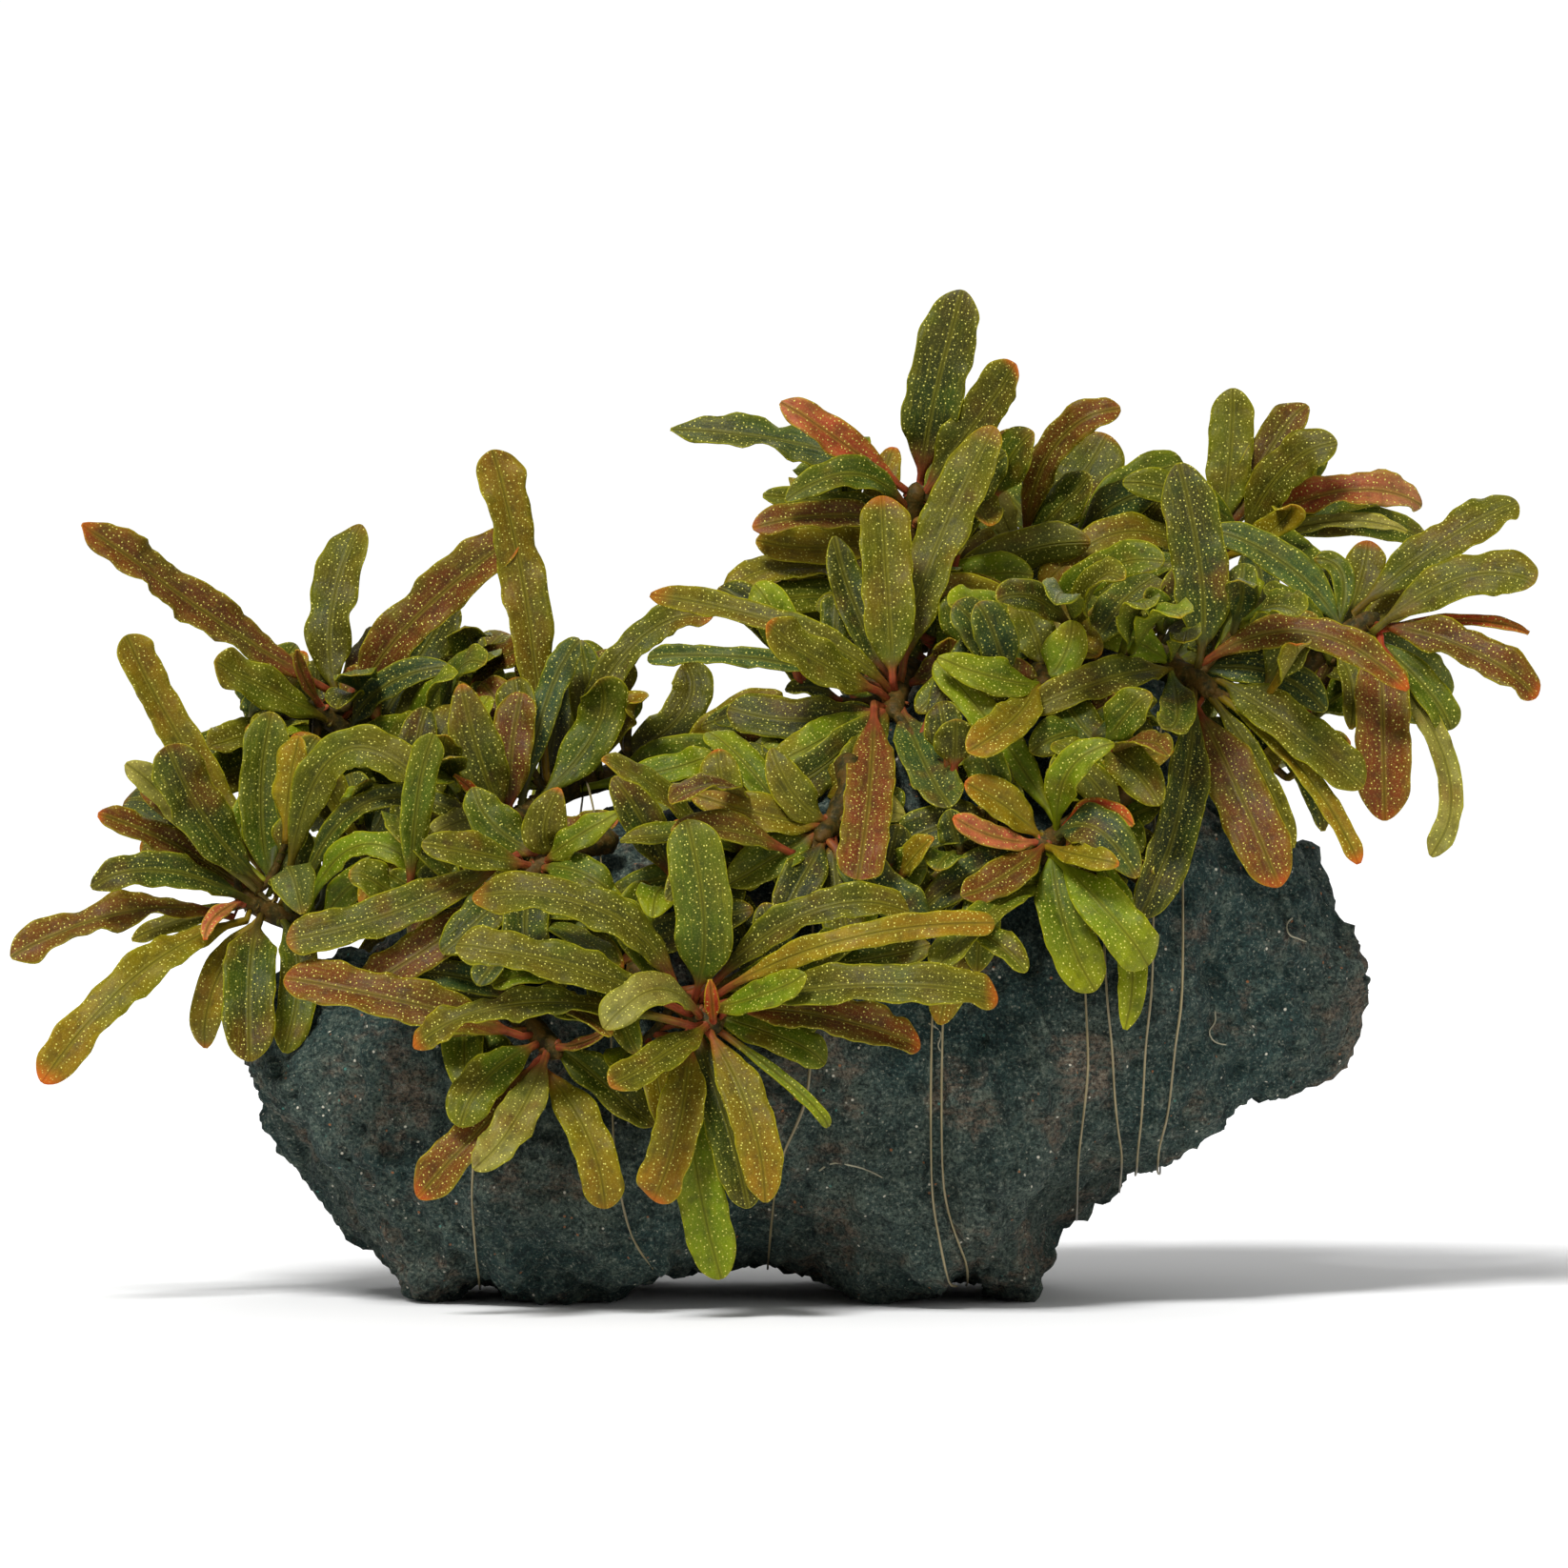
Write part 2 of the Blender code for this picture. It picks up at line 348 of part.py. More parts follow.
        (1.5, (27, 42, 38), (26, 45, 30), 4.8, 0, 0.3),
        (3.0, (24, 38, 52), (19, 41, 60), 4.8, 0, 0.3),
        (4.5, (33, 37, 57), (34, 40, 66), 4.8, 0, 0.3),
        (6.5, (41, 34, 54), (47, 36, 59), 4.6, 0, 0.3),
        (8.5, (43, 33, 46), (48, 36, 40), 4.6, 0, 0.3),
    ),
}
YOUNG_COLOUR = "stem"


def clear_scene():
    for obj in list(bpy.data.objects):
        bpy.data.objects.remove(obj)


def material(name, colour, roughness):
    made = bpy.data.materials.new(name)
    made.use_nodes = True
    shader = made.node_tree.nodes["Principled BSDF"]
    shader.inputs["Base Color"].default_value = (*COLOURS[colour], 1)
    shader.inputs["Roughness"].default_value = roughness
    return made


def add_object(name, points, faces, colour, roughness):
    """Adds the shape, given in millimetres, as one object in metres, with its faces turned outwards."""
    mesh = bpy.data.meshes.new(name)
    origin = Vector(ORIGIN)
    mesh.from_pydata([(Vector(point) - origin) * MM for point in points], [], faces)
    shape = bmesh.new()
    shape.from_mesh(mesh)
    bmesh.ops.recalc_face_normals(shape, faces=shape.faces)
    if shape.calc_volume(signed=True) < 0:
        bmesh.ops.reverse_faces(shape, faces=shape.faces)
    shape.to_mesh(mesh)
    shape.free()
    mesh.shade_smooth()
    mesh.materials.append(material(name, colour, roughness))
    obj = bpy.data.objects.new(name, mesh)
    bpy.context.scene.collection.objects.link(obj)
    return obj


def profile(points, x):
    places, values = zip(*points)
    return float(np.interp(x, places, values))


def power(value, exponent):
    return math.copysign(abs(value) ** exponent, value)


def rings_to_faces(rings, sides, closed):
    """Side faces between rings of points that follow each other in one list."""
    faces = []
    for ring in range(rings if closed else rings - 1):
        here = ring * sides
        there = (ring + 1) % rings * sides
        for side in range(sides):
            after = (side + 1) % sides
            faces.append((here + side, here + after, there + after))
            faces.append((here + side, there + after, there + side))
    return faces


def rock_stations():
    """Where the rock's rings stand along x: closer at the ends, and one at each edge of a foot."""
    places = []
    for ring in range(1, ROCK_RINGS):
        even = ring / ROCK_RINGS
        eased = 0.5 - 0.5 * math.cos(math.pi * even)
        places.append(ROCK_LEFT + (ROCK_RIGHT - ROCK_LEFT) * (0.65 * even + 0.35 * eased))
    free = [x for x in places if min(abs(x - edge) for edge in FOOT_EDGES) > RING_SPACE]
    return sorted(free + list(FOOT_EDGES))


def rock_shape():
    """A loft of rounded rings along x, pushed in and out into lumps, with its feet cut flat."""
    points = []
    stations = rock_stations()
    for x in stations:
        low = profile(ROCK_UNDERSIDE, x)
        high = profile(ROCK_TOP, x)
        front = profile(ROCK_FRONT, x)
        back = profile(ROCK_BACK, x)
        for side in range(ROCK_SIDES):
            angle = 2 * math.pi * side / ROCK_SIDES
            across = power(math.cos(angle), 2 / ROCK_SQUARENESS)
            up = power(math.sin(angle), 2 / ROCK_SQUARENESS)
            z = (low + high) / 2 + (high - low) / 2 * up
            y = (front + back) / 2 + (back - front) / 2 * across
            y += ROCK_LEAN * (z - (low + high) / 2)
            points.append(Vector((x, y, z)))
    faces = rings_to_faces(len(stations), ROCK_SIDES, False)
    ends = (ROCK_LEFT, ROCK_RIGHT)
    starts = (0, (len(stations) - 1) * ROCK_SIDES)
    for x, start in zip(ends, starts):
        tip = len(points)
        middle = (profile(ROCK_UNDERSIDE, x) + profile(ROCK_TOP, x)) / 2
        points.append(Vector((x, profile(ROCK_FRONT, x), middle)))
        for side in range(ROCK_SIDES):
            faces.append((start + side, start + (side + 1) % ROCK_SIDES, tip))
    return lumpy(points, faces), faces


def lumpy(points, faces):
    mesh = bpy.data.meshes.new("rock_form")
    mesh.from_pydata(points, [], faces)
    shape = bmesh.new()
    shape.from_mesh(mesh)
    bmesh.ops.recalc_face_normals(shape, faces=shape.faces)
    shape.normal_update()
    moved = []
    for vertex in shape.verts:
        place = vertex.co
        rise = LUMP_HEIGHT * noise.noise(place / LUMP_SIZE) + KNOB_HEIGHT * noise.noise(place / KNOB_SIZE)
        calm = min(1, max(0, place.z) / FOOT_CALM) ** 2
        point = place + vertex.normal * rise * calm
        point.z = max(0, point.z)
        moved.append(point)
    shape.free()
    bpy.data.meshes.remove(mesh)
    return moved


def off_rock(point, rock, distance):
    """The point, moved straight out of the rock where it is nearer to it than the distance."""
    for _ in range(4):
        place, away = way_out(point, rock)
        if away.dot(point - place) >= distance:
            return point
        point = place + away * distance
    return point


def way_out(point, bound):
    """The nearest place of a surface, and the direction that leads from it outwards through the point."""
    place, normal, _, _ = bound.find_nearest(point)
    away = point - place
    if away.dot(normal) < -0.7 * away.length or away.length < 1e-6:
        return place, normal
    return place, away.normalized()


def curve_point(start, middle, end, t):
    """A point of the curve that passes through the middle halfway, and the curve's direction there."""
    pull = 2 * middle - (start + end) / 2
    point = (1 - t) ** 2 * start + 2 * t * (1 - t) * pull + t * t * end
    direction = 2 * (1 - t) * (pull - start) + 2 * t * (end - pull)
    return point, direction.normalized()


def tube(centres, radii, sides, closed):
    """Rings of points round a line of centres, and the faces between them."""
    points = []
    count = len(centres)
    for index, (centre, radius) in enumerate(zip(centres, radii)):
        before = centres[index - 1] if closed or index else centre
        after = centres[(index + 1) % count] if closed or index < count - 1 else centre
        along = (after - before).normalized()
        across = along.cross(Vector((0.31, 0.17, 0.93))).normalized()
        for side in range(sides):
            turned = Quaternion(along, 2 * math.pi * side / sides) @ across
            points.append(centre + turned * radius)
    faces = rings_to_faces(count, sides, closed)
    if not closed:
        for end, start in ((0, 0), (-1, (count - 1) * sides)):
            tip = len(points)
            outward = centres[end] - centres[1 if end == 0 else -2]
            points.append(centres[end] + outward.normalized() * radii[end] * 0.8)
            for side in range(sides):
                faces.append((start + side, start + (side + 1) % sides, tip))
    return points, faces


def rhizome_line(route, creeping, rock):
    """The rhizome's middle line and its radii, kept just off the rock."""
    start, middle, end = (Vector(point) for point in route)
    centres = []
    radii = []
    for ring in range(RHIZOME_RINGS):
        t = ring / (RHIZOME_RINGS - 1)
        point, _ = curve_point(start, middle, end, t)
        reach = RHIZOME_RADIUS + GAP + (0.8 if creeping else 0.3)
        centres.append(off_rock(point, rock, reach))
        radii.append(RHIZOME_RADIUS * (1 - 0.25 * t) * (0.75 if ring in (0, RHIZOME_RINGS - 1) else 1))
    return centres, radii


def seat_on(centres, back):
    """The point of the rhizome's middle line this far back from its crown, and its direction there."""
    left = back
    for index in range(len(centres) - 1, 0, -1):
        step = centres[index - 1] - centres[index]
        if left <= step.length or index == 1:
            return centres[index] + step.normalized() * min(left, step.length), -step.normalized()
        left -= step.length


def section(x, meshes):
    """Where the edges of these meshes pass through the plane of this x, as (y, z)."""
    found = []
    for points, faces in meshes:
        for face in faces:
            for a, b in zip(face, face[1:] + face[:1]):
                first = points[a]
                second = points[b]
                if (first.x - x) * (second.x - x) < 0:
                    share = (x - first.x) / (second.x - first.x)
                    place = first.lerp(second, share)
                    found.append((place.y, place.z))
    return found


def thread_line(meshes):
    """The tie line's route: over the top, down the front, under and up the back, once for each turn."""
    stops = []
    for turn, (top, front, under) in enumerate(TURNS):
        start = 4 * turn
        stops += [(start, top), (start + 1, front), (start + 1.5, under), (start + 2.7, under)]
    centres = []
    steps = int(stops[-1][0] * TURN_STEPS / 4)
    for step in range(steps + 1):
        quarter = 4 * step / TURN_STEPS
        x = profile(stops, quarter)
        angle = math.pi / 2 * (1 + quarter)
        way = (math.cos(angle), math.sin(angle))
        outline = section(x, meshes)
        y, z = max(outline, key=lambda place: place[0] * way[0] + place[1] * way[1])
        centre = Vector((x, y + way[0] * THREAD_GAP, z + way[1] * THREAD_GAP))
        if not centres or (centre - centres[-1]).length > SHORTEST_STRETCH:
            centres.append(centre)
    return keep_off(centres, tree_of(*joined(meshes)))


def keep_off(centres, bound):
    """Moves a stretch outwards wherever it would touch what it is wound round."""
    for _ in range(EASING_ROUNDS):
        for index in range(len(centres) - 1):
            for share in np.linspace(0, 1, EASING_PLACES):
                point = centres[index].lerp(centres[index + 1], share)
                place, away = way_out(point, bound)
                short = THREAD_GAP - away.dot(point - place)
                if short > 0:
                    centres[index] += away * short * (1 - share)
                    centres[index + 1] += away * short * share
    return centres


def joined(meshes):
    """Several meshes as one list of points and one of faces."""
    points = []
    faces = []
    for more_points, more_faces in meshes:
        start = len(points)
        points += more_points
        faces += [tuple(corner + start for corner in face) for face in more_faces]
    return points, faces


def blade_half(t, width):
    """Half the leaf's breadth: a narrow stalk that widens slowly, broadest past the middle, blunt tip."""
    blade = width / 2 * math.sin(math.pi * t ** 1.3) ** 0.62
    return max(STALK_HALF * min(1, 1.6 - t), blade)


def blade_thick(t):
    return STALK_HALF + (BLADE_THICKNESS / 2 - STALK_HALF) * min(1, t / 0.3)


def leaf_shape(base, middle, tip, width, roll, wave, facing, stations, grow=0.0):
    """A thin closed leaf: rings of left edge, upper face, right edge, lower face, and a tip point."""
    points = []
    faces = []
    look = Vector((0, 0.87 * facing, 0.5))
    last_side = None
    for t in stations:
        centre, along = curve_point(base, middle, tip, t)
        side = along.cross(look)
        if side.length < 0.15:
            side = Vector((1, 0, 0))
        side = Quaternion(along, math.radians(roll)) @ side.normalized()
        if last_side and side.dot(last_side) < 0:
            side = -side
        last_side = side
        normal = side.cross(along).normalized()
        half = blade_half(t, width)
        thick = blade_thick(t) + grow
        spread = half / (width / 2)
        left = spread * (BLADE_CUP * half + wave * math.sin(2 * math.pi * WAVES * t))
        right = spread * (BLADE_CUP * half + wave * math.sin(2 * math.pi * WAVES * t + 2.1))
        if half <= STALK_HALF:
            left = right = 0
        points.append(centre - side * (half + grow) + normal * left)
        points.append(centre + normal * thick)
        points.append(centre + side * (half + grow) + normal * right)
        points.append(centre - normal * thick)
    count = len(stations)
    for ring in range(count - 1):
        here = 4 * ring
        there = here + 4
        for edge in (0, 2):
            for face in (1, 3):
                faces.append((here + edge, here + face, there + face))
                faces.append((here + edge, there + face, there + edge))
    faces += [(0, 1, 2), (0, 2, 3)]
    last = 4 * (count - 1)
    end = len(points)
    points.append(tip + (tip - middle).normalized() * grow)
    for corner in range(4):
        faces.append((last + corner, last + (corner + 1) % 4, end))
    return points, faces


def tree_of(points, faces):
    return BVHTree.FromPolygons([tuple(point) for point in points], faces)


def inside_rock(points, rock):
    for point in points:
        place, normal, _, _ = rock.find_nearest(point)
        if (point - place).dot(normal) < CLEARANCE:
            return True
    return False


class Bed:
    """The rock, the rhizomes, the thread and the leaves placed so far."""

    def __init__(self, rock):
        self.rock = rock
        self.lines = {}
        self.placed = []

    def add(self, owner, points, faces, young=False):
        self.placed.append((owner, young, tree_of(points, faces)))

    def clear(self, owner, whole, blade):
        """Whether this leaf touches nothing. A fused leaf's blade is kept clear of its own rhizome's
        other young leaves, and its stalk only of what belongs to other pieces."""
        if inside_rock(whole[0], self.rock):
            return False
        tree = tree_of(*whole)
        if tree.overlap(self.rock):
            return False
        blade_tree = tree_of(*blade) if blade else None
        for other, young, placed in self.placed:
            if blade and other == owner:
                if young and blade_tree.overlap(placed):
                    return False
            elif tree.overlap(placed):
                return False
        return True

    def settle(self, name, rhizome, values, stations, fused):
        """Tries each roll, slide and bend in turn and gives the first leaf that is clear of all others."""
        facing = RHIZOMES[rhizome][0]
        seat, middle, tip, width, roll, wave = values
        for turn in ROLLS:
            for slide in SLIDES:
                for bend in BENDS:
                    middle_point = Vector(middle) + Vector((0, bend / 2, 0))
                    tip_point = Vector(tip) + Vector((0, bend, 0))
                    centre, along = seat_on(self.lines[rhizome], max(0, seat + slide))
                    out = middle_point - centre
                    out = (out - along * out.dot(along)).normalized()
                    base = centre + out * (0.5 if fused else RHIZOME_RADIUS + 0.85)
                    shape = (base, middle_point, tip_point, width, roll + turn, wave, facing)
                    whole = leaf_shape(*shape, stations, CLEARANCE)
                    blade = leaf_shape(*shape, stations[1:], CLEARANCE) if fused else None
                    if self.clear(rhizome, whole, blade):
                        leaf = leaf_shape(*shape, stations)
                        self.add(rhizome if fused else name, *leaf, fused)
                        return leaf
        print("no clear place for", name)
        return None


def build_rhizome(bed, name, young):
    """The rhizome with its young leaves grown into it, as one solid."""
    faces = bed.meshes[name][1]
    stem = add_object("rhizome_" + name, bed.meshes[name][0], faces, YOUNG_COLOUR, 0.5)
    helpers = bpy.data.collections.new("young_" + name)
    bpy.context.scene.collection.children.link(helpers)
    for index, (points, sides) in enumerate(young):
        leaf = add_object(f"young_{name}_{index + 1}", points, sides, YOUNG_COLOUR, 0.5)
        bpy.context.scene.collection.objects.unlink(leaf)
        helpers.objects.link(leaf)
        leaf.hide_render = True
        leaf.display_type = "WIRE"
    join = stem.modifiers.new("grown_together", "BOOLEAN")
    join.operation = "UNION"
    join.operand_type = "COLLECTION"
    join.collection = helpers
    join.solver = "EXACT"
    bpy.context.view_layer.update()
    grown = stem.evaluated_get(bpy.context.evaluated_depsgraph_get())
    whole = bpy.data.meshes.new_from_object(grown)
    stem.modifiers.remove(join)
    for leaf in list(helpers.objects):
        bpy.data.objects.remove(leaf)
    bpy.data.collections.remove(helpers)
    keep_largest_body(whole)
    stem.data = whole


def keep_largest_body(mesh):
    """Drops the specks that a join leaves where stalks cross inside the stem."""
    shape = bmesh.new()
    shape.from_mesh(mesh)
    left = set(shape.verts)
    bodies = []
    while left:
        body = set()
        reached = [left.pop()]
        while reached:
            vertex = reached.pop()
            body.add(vertex)
            for edge in vertex.link_edges:
                other = edge.other_vert(vertex)
                if other in left:
                    left.remove(other)
                    reached.append(other)
        bodies.append(body)
    largest = max(bodies, key=len)
    specks = [vertex for body in bodies if body is not largest for vertex in body]
    bmesh.ops.delete(shape, geom=specks, context="VERTS")
    shape.to_mesh(mesh)
    shape.free()


def main():
    clear_scene()
    rock_points, rock_faces = rock_shape()
    rock = tree_of(rock_points, rock_faces)
    add_object("lava_rock", rock_points, rock_faces, "lava", 0.9)

    bed = Bed(rock)
    bed.meshes = {}
    for name, (_, creeping, route) in RHIZOMES.items():
        centres, radii = rhizome_line(route, creeping, rock)
        bed.lines[name] = centres
        bed.meshes[name] = tube(centres, radii, RHIZOME_SIDES, False)
        bed.add(name, *bed.meshes[name])

    bound = [(rock_points, rock_faces)]
    bound += [bed.meshes[name] for name, (_, creeping, _) in RHIZOMES.items() if creeping]
    centres = thread_line(bound)
    thread = tube(centres, [THREAD_RADIUS] * len(centres), THREAD_SIDES, False)
    add_object("tie_line", *thread, "thread", 0.3)
    bed.add("tie_line", *thread)

    for name, (rhizome, *values, colour) in LEAVES.items():
        leaf = bed.settle(name, rhizome, values, LARGE_STATIONS, False)
        if leaf:
            add_object(name, *leaf, colour, 0.45)
    for name, rows in YOUNG.items():
        young = []
        for index, values in enumerate(rows):
            leaf = bed.settle(f"young_{name}_{index + 1}", name, values, SMALL_STATIONS, True)
            if leaf:
                young.append(leaf)
        build_rhizome(bed, name, young)


main()
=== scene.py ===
# Bucephalandra on lava rock, for Blender 4.5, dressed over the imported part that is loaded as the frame.
# Stem, leaf and thread measures are millimetres in the rock's own drawing, and atOrigin turns them into
# metres from the part's origin. +X is the rock's long way, and -Y is the side that is seen.

import math

import bpy
import numpy as np
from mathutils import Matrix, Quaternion, Vector, noise
from mathutils.bvhtree import BVHTree
from mathutils.kdtree import KDTree


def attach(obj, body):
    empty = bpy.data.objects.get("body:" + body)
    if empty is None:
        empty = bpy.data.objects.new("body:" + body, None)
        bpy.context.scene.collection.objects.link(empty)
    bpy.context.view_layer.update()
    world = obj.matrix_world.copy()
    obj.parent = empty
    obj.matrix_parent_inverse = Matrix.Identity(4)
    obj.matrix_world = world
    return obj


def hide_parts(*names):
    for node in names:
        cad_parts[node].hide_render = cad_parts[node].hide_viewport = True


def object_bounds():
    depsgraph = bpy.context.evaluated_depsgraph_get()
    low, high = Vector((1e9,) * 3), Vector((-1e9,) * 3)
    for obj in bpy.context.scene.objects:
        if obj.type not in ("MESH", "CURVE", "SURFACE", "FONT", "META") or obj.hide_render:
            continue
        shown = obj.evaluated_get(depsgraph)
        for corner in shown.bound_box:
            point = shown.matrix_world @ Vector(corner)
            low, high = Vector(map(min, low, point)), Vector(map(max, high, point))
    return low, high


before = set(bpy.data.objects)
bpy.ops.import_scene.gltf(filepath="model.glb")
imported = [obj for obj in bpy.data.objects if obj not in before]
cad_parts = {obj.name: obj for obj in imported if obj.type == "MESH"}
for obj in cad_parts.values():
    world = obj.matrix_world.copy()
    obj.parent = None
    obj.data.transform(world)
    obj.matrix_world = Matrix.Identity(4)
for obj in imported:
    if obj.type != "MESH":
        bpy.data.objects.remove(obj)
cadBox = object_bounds()

mm = 0.001
drawingOrigin = Vector((1.45, -7.25, 0))  # where the part's origin stands in the drawing
mergeWithin = 0.01  # millimetres, and corners closer than this are one


def atOrigin(point):
    return (Vector(point) - drawingOrigin) * mm


def inDrawing(point):
    return Vector(point) / mm + drawingOrigin


def pickOnly(*objects):
    for obj in bpy.context.selected_objects:
        obj.select_set(False)
    for obj in objects:
        obj.select_set(True)
    if objects:
        bpy.context.view_layer.objects.active = objects[0]


def addObject(name, data):
    obj = bpy.data.objects.new(name, data)
    bpy.context.scene.collection.objects.link(obj)
    return obj


def shapeWith(obj, kind, **settings):
    # a modifier with these settings, applied
    pickOnly(obj)
    modifier = obj.modifiers.new(kind, kind)
    for key, value in settings.items():
        setattr(modifier, key, value)
    bpy.ops.object.modifier_apply(modifier=modifier.name)


def closeSkin(obj):
    # joins the corners that lie on one another and turns the faces outwards
    pickOnly(obj)
    bpy.ops.object.mode_set(mode="EDIT")
    bpy.ops.mesh.select_all(action="SELECT")
    bpy.ops.mesh.remove_doubles(threshold=mergeWithin * mm)
    bpy.ops.mesh.normals_make_consistent(inside=False)
    bpy.ops.object.mode_set(mode="OBJECT")


def cover(obj, skin):
    obj.data.materials.clear()
    obj.data.materials.append(skin)
    obj.data.shade_smooth()


def joinPieces(name, pieces):
    pickOnly(*pieces)
    bpy.ops.object.join()
    pieces[0].name = pieces[0].data.name = name
    return pieces[0]


def keepPiece(obj, slotName, nodes):
    # a finished piece rides on the part's one body and stands for these nodes
    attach(obj, "root")
    if nodes:
        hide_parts(*nodes)


def pushOut(mesh, height):
    # moves every point along its normal by the millimetres that height gives for its place
    normals = [vertex.normal.copy() for vertex in mesh.vertices]
    for vertex, normal in zip(mesh.vertices, normals):
        vertex.co += normal * height(inDrawing(vertex.co)) * mm


def pointsOf(mesh):
    found = np.empty(len(mesh.vertices) * 3)
    mesh.vertices.foreach_get("co", found)
    return found.reshape(-1, 3)


def surfaceOf(objects, change=tuple):
    # the skins of these objects as one, for near places and rays
    points = []
    faces = []
    for obj in objects:
        first = len(points)
        points += [change(vertex.co) for vertex in obj.data.vertices]
        faces += [tuple(first + corner for corner in face.vertices) for face in obj.data.polygons]
    return BVHTree.FromPolygons(points, faces)


class Wire:
    # one value in a material, which can be added, multiplied and so on

    def __init__(self, board, socket):
        self.board = board
        self.socket = socket

    def maths(self, operation, *values):
        return self.board.node("ShaderNodeMath", {"operation": operation}, dict(enumerate(values)))

    def __add__(self, other):
        return self.maths("ADD", self, other)

    def __sub__(self, other):
        return self.maths("SUBTRACT", self, other)

    def __rsub__(self, other):
        return self.maths("SUBTRACT", other, self)

    def __mul__(self, other):
        return self.maths("MULTIPLY", self, other)

    def __abs__(self):
        return self.maths("ABSOLUTE", self)

    __radd__ = __add__
    __rmul__ = __mul__


class Board:
    # a material's node tree and its Principled shader

    def __init__(self, name, **constants):
        self.material = bpy.data.materials.new(name)
        self.material.use_nodes = True
        self.tree = self.material.node_tree
        self.shader = self.tree.nodes["Principled BSDF"]
        self.shade(**constants)

    def node(self, kind, settings, sockets, out=0):
        made = self.tree.nodes.new(kind)
        for key, value in settings.items():
            setattr(made, key, value)
        for key, value in sockets.items():
            self.feed(made.inputs[key], value)
        return Wire(self, made.outputs[out])

    def feed(self, socket, value):
        if isinstance(value, Wire):
            self.tree.links.new(value.socket, socket)
        elif isinstance(value, tuple) and len(value) == 3 and socket.type == "RGBA":
            socket.default_value = (*value, 1)
        else:
            socket.default_value = value

    def shade(self, **sockets):
        for name, value in sockets.items():
            self.feed(self.shader.inputs[name.replace("_", " ")], value)

    def mix(self, share, first, second):
        return self.node("ShaderNodeMix", {"data_type": "RGBA"}, {0: share, 6: first, 7: second}, 2)

    def layers(self, colour, *layers):
        # each layer's colour over what is there, by its share
        for share, over in layers:
            colour = self.mix(share, colour, over)
        return colour

    def step(self, value, low, high):
        # 0 up to low and 1 from high on, eased between them
        settings = {"interpolation_type": "SMOOTHSTEP"}
        return self.node("ShaderNodeMapRange", settings, {0: value, 1: low, 2: high})

    def place(self):
        return self.node("ShaderNodeTexCoord", {}, {}, 3)

    def attribute(self, name, out=1):
        return self.node("ShaderNodeAttribute", {"attribute_name": name}, {}, out)

    def part(self, vector, out):
        return self.node("ShaderNodeSeparateXYZ", {}, {0: vector}, out)

    def times(self, vector, factors):
        return self.node("ShaderNodeVectorMath", {"operation": "MULTIPLY"}, {0: vector, 1: factors})

    def cloud(self, vector, scale, detail=3.0, roughness=0.55):
        sockets = {"Vector": vector, "Scale": scale, "Detail": detail, "Roughness": roughness}
        return self.node("ShaderNodeTexNoise", {}, sockets)

    def cells(self, vector, scale, out=0, ways="3D"):
        settings = {"voronoi_dimensions": ways}
        return self.node("ShaderNodeTexVoronoi", settings, {"Vector": vector, "Scale": scale}, out)

    def bump(self, height, strength, distance):
        sockets = {"Height": height, "Strength": strength, "Distance": distance}
        self.shade(Normal=self.node("ShaderNodeBump", {}, sockets))


def tint(red, green, blue):
    # a colour from 0 to 255 as it is seen, as Blender's own
    return tuple(((value / 255 + 0.055) / 1.055) ** 2.4 for value in (red, green, blue))


print("setup done")


view = {
    "distance": 3.0,
    "lens": 656.0,  # with the 36 mm sensor, 165 mm of the scene fill the picture
    "sensor": 36,
    "clipEnd": 60,
    "lookDown": 2.5,
    "centre": (2.3, -8, 54),
}

light = {
    "room": 0.38,
    "sun": 3.25,
    "sunWidth": 16.0,
    "sunFrom": (-0.35, -0.75, 1.1),
    "fill": 1.6,
    "fillSize": 0.6,
    "fillFrom": (0.7, -0.9, 0.25),
    "rim": 1.5,
    "rimSize": 0.5,
    "rimFrom": (0.2, 0.8, 0.6),
    "aim": Vector((0, 0, 0.05)),
}

paper = {"size": 30, "dim": (0.9, 0.9, 0.9), "pale": (0.95, 0.95, 0.95)}


def buildFloor():
    pickOnly()
    bpy.ops.mesh.primitive_grid_add(x_subdivisions=6, y_subdivisions=6, size=paper["size"])
    floor = bpy.context.active_object
    floor.name = "paleFloor"
    board = Board("palePaper", Roughness=0.9)
    board.shade(Base_Color=board.mix(board.cloud(board.place(), 2.0), paper["dim"], paper["pale"]))
    floor.data.materials.append(board.material)


def addLamp(name, kind, place, power):
    data = bpy.data.lights.new(name, kind)
    data.energy = power
    lamp = addObject(name, data)
    lamp.location = place
    lamp.rotation_euler = (Vector(place) - light["aim"]).to_track_quat("Z", "Y").to_euler()
    return data


def buildLight():
    world = bpy.data.worlds.new("paleRoom")
    world.use_nodes = True
    room = world.node_tree.nodes["Background"]
    room.inputs["Color"].default_value = (1, 1, 1, 1)
    room.inputs["Strength"].default_value = light["room"]
    bpy.context.scene.world = world
    addLamp("softSun", "SUN", light["sunFrom"], light["sun"]).angle = math.radians(light["sunWidth"])
    addLamp("fillLamp", "AREA", light["fillFrom"], light["fill"]).size = light["fillSize"]
    addLamp("rimLamp", "AREA", light["rimFrom"], light["rim"]).size = light["rimSize"]


def buildCamera():
    data = bpy.data.cameras.new("photoView")
    data.lens = view["lens"]
    data.sensor_width = view["sensor"]
    data.clip_end = view["clipEnd"]
    camera = addObject("photoView", data)
    tilt = math.radians(view["lookDown"])
    away = Vector((0, -math.cos(tilt), math.sin(tilt)))
    camera.location = atOrigin(view["centre"]) + away * view["distance"]
    camera.rotation_euler = (math.pi / 2 - tilt, 0, 0)
    bpy.context.scene.camera = camera
    bpy.context.scene.view_settings.view_transform = "Standard"


buildFloor()
buildLight()
buildCamera()
print("floor, light and camera done")


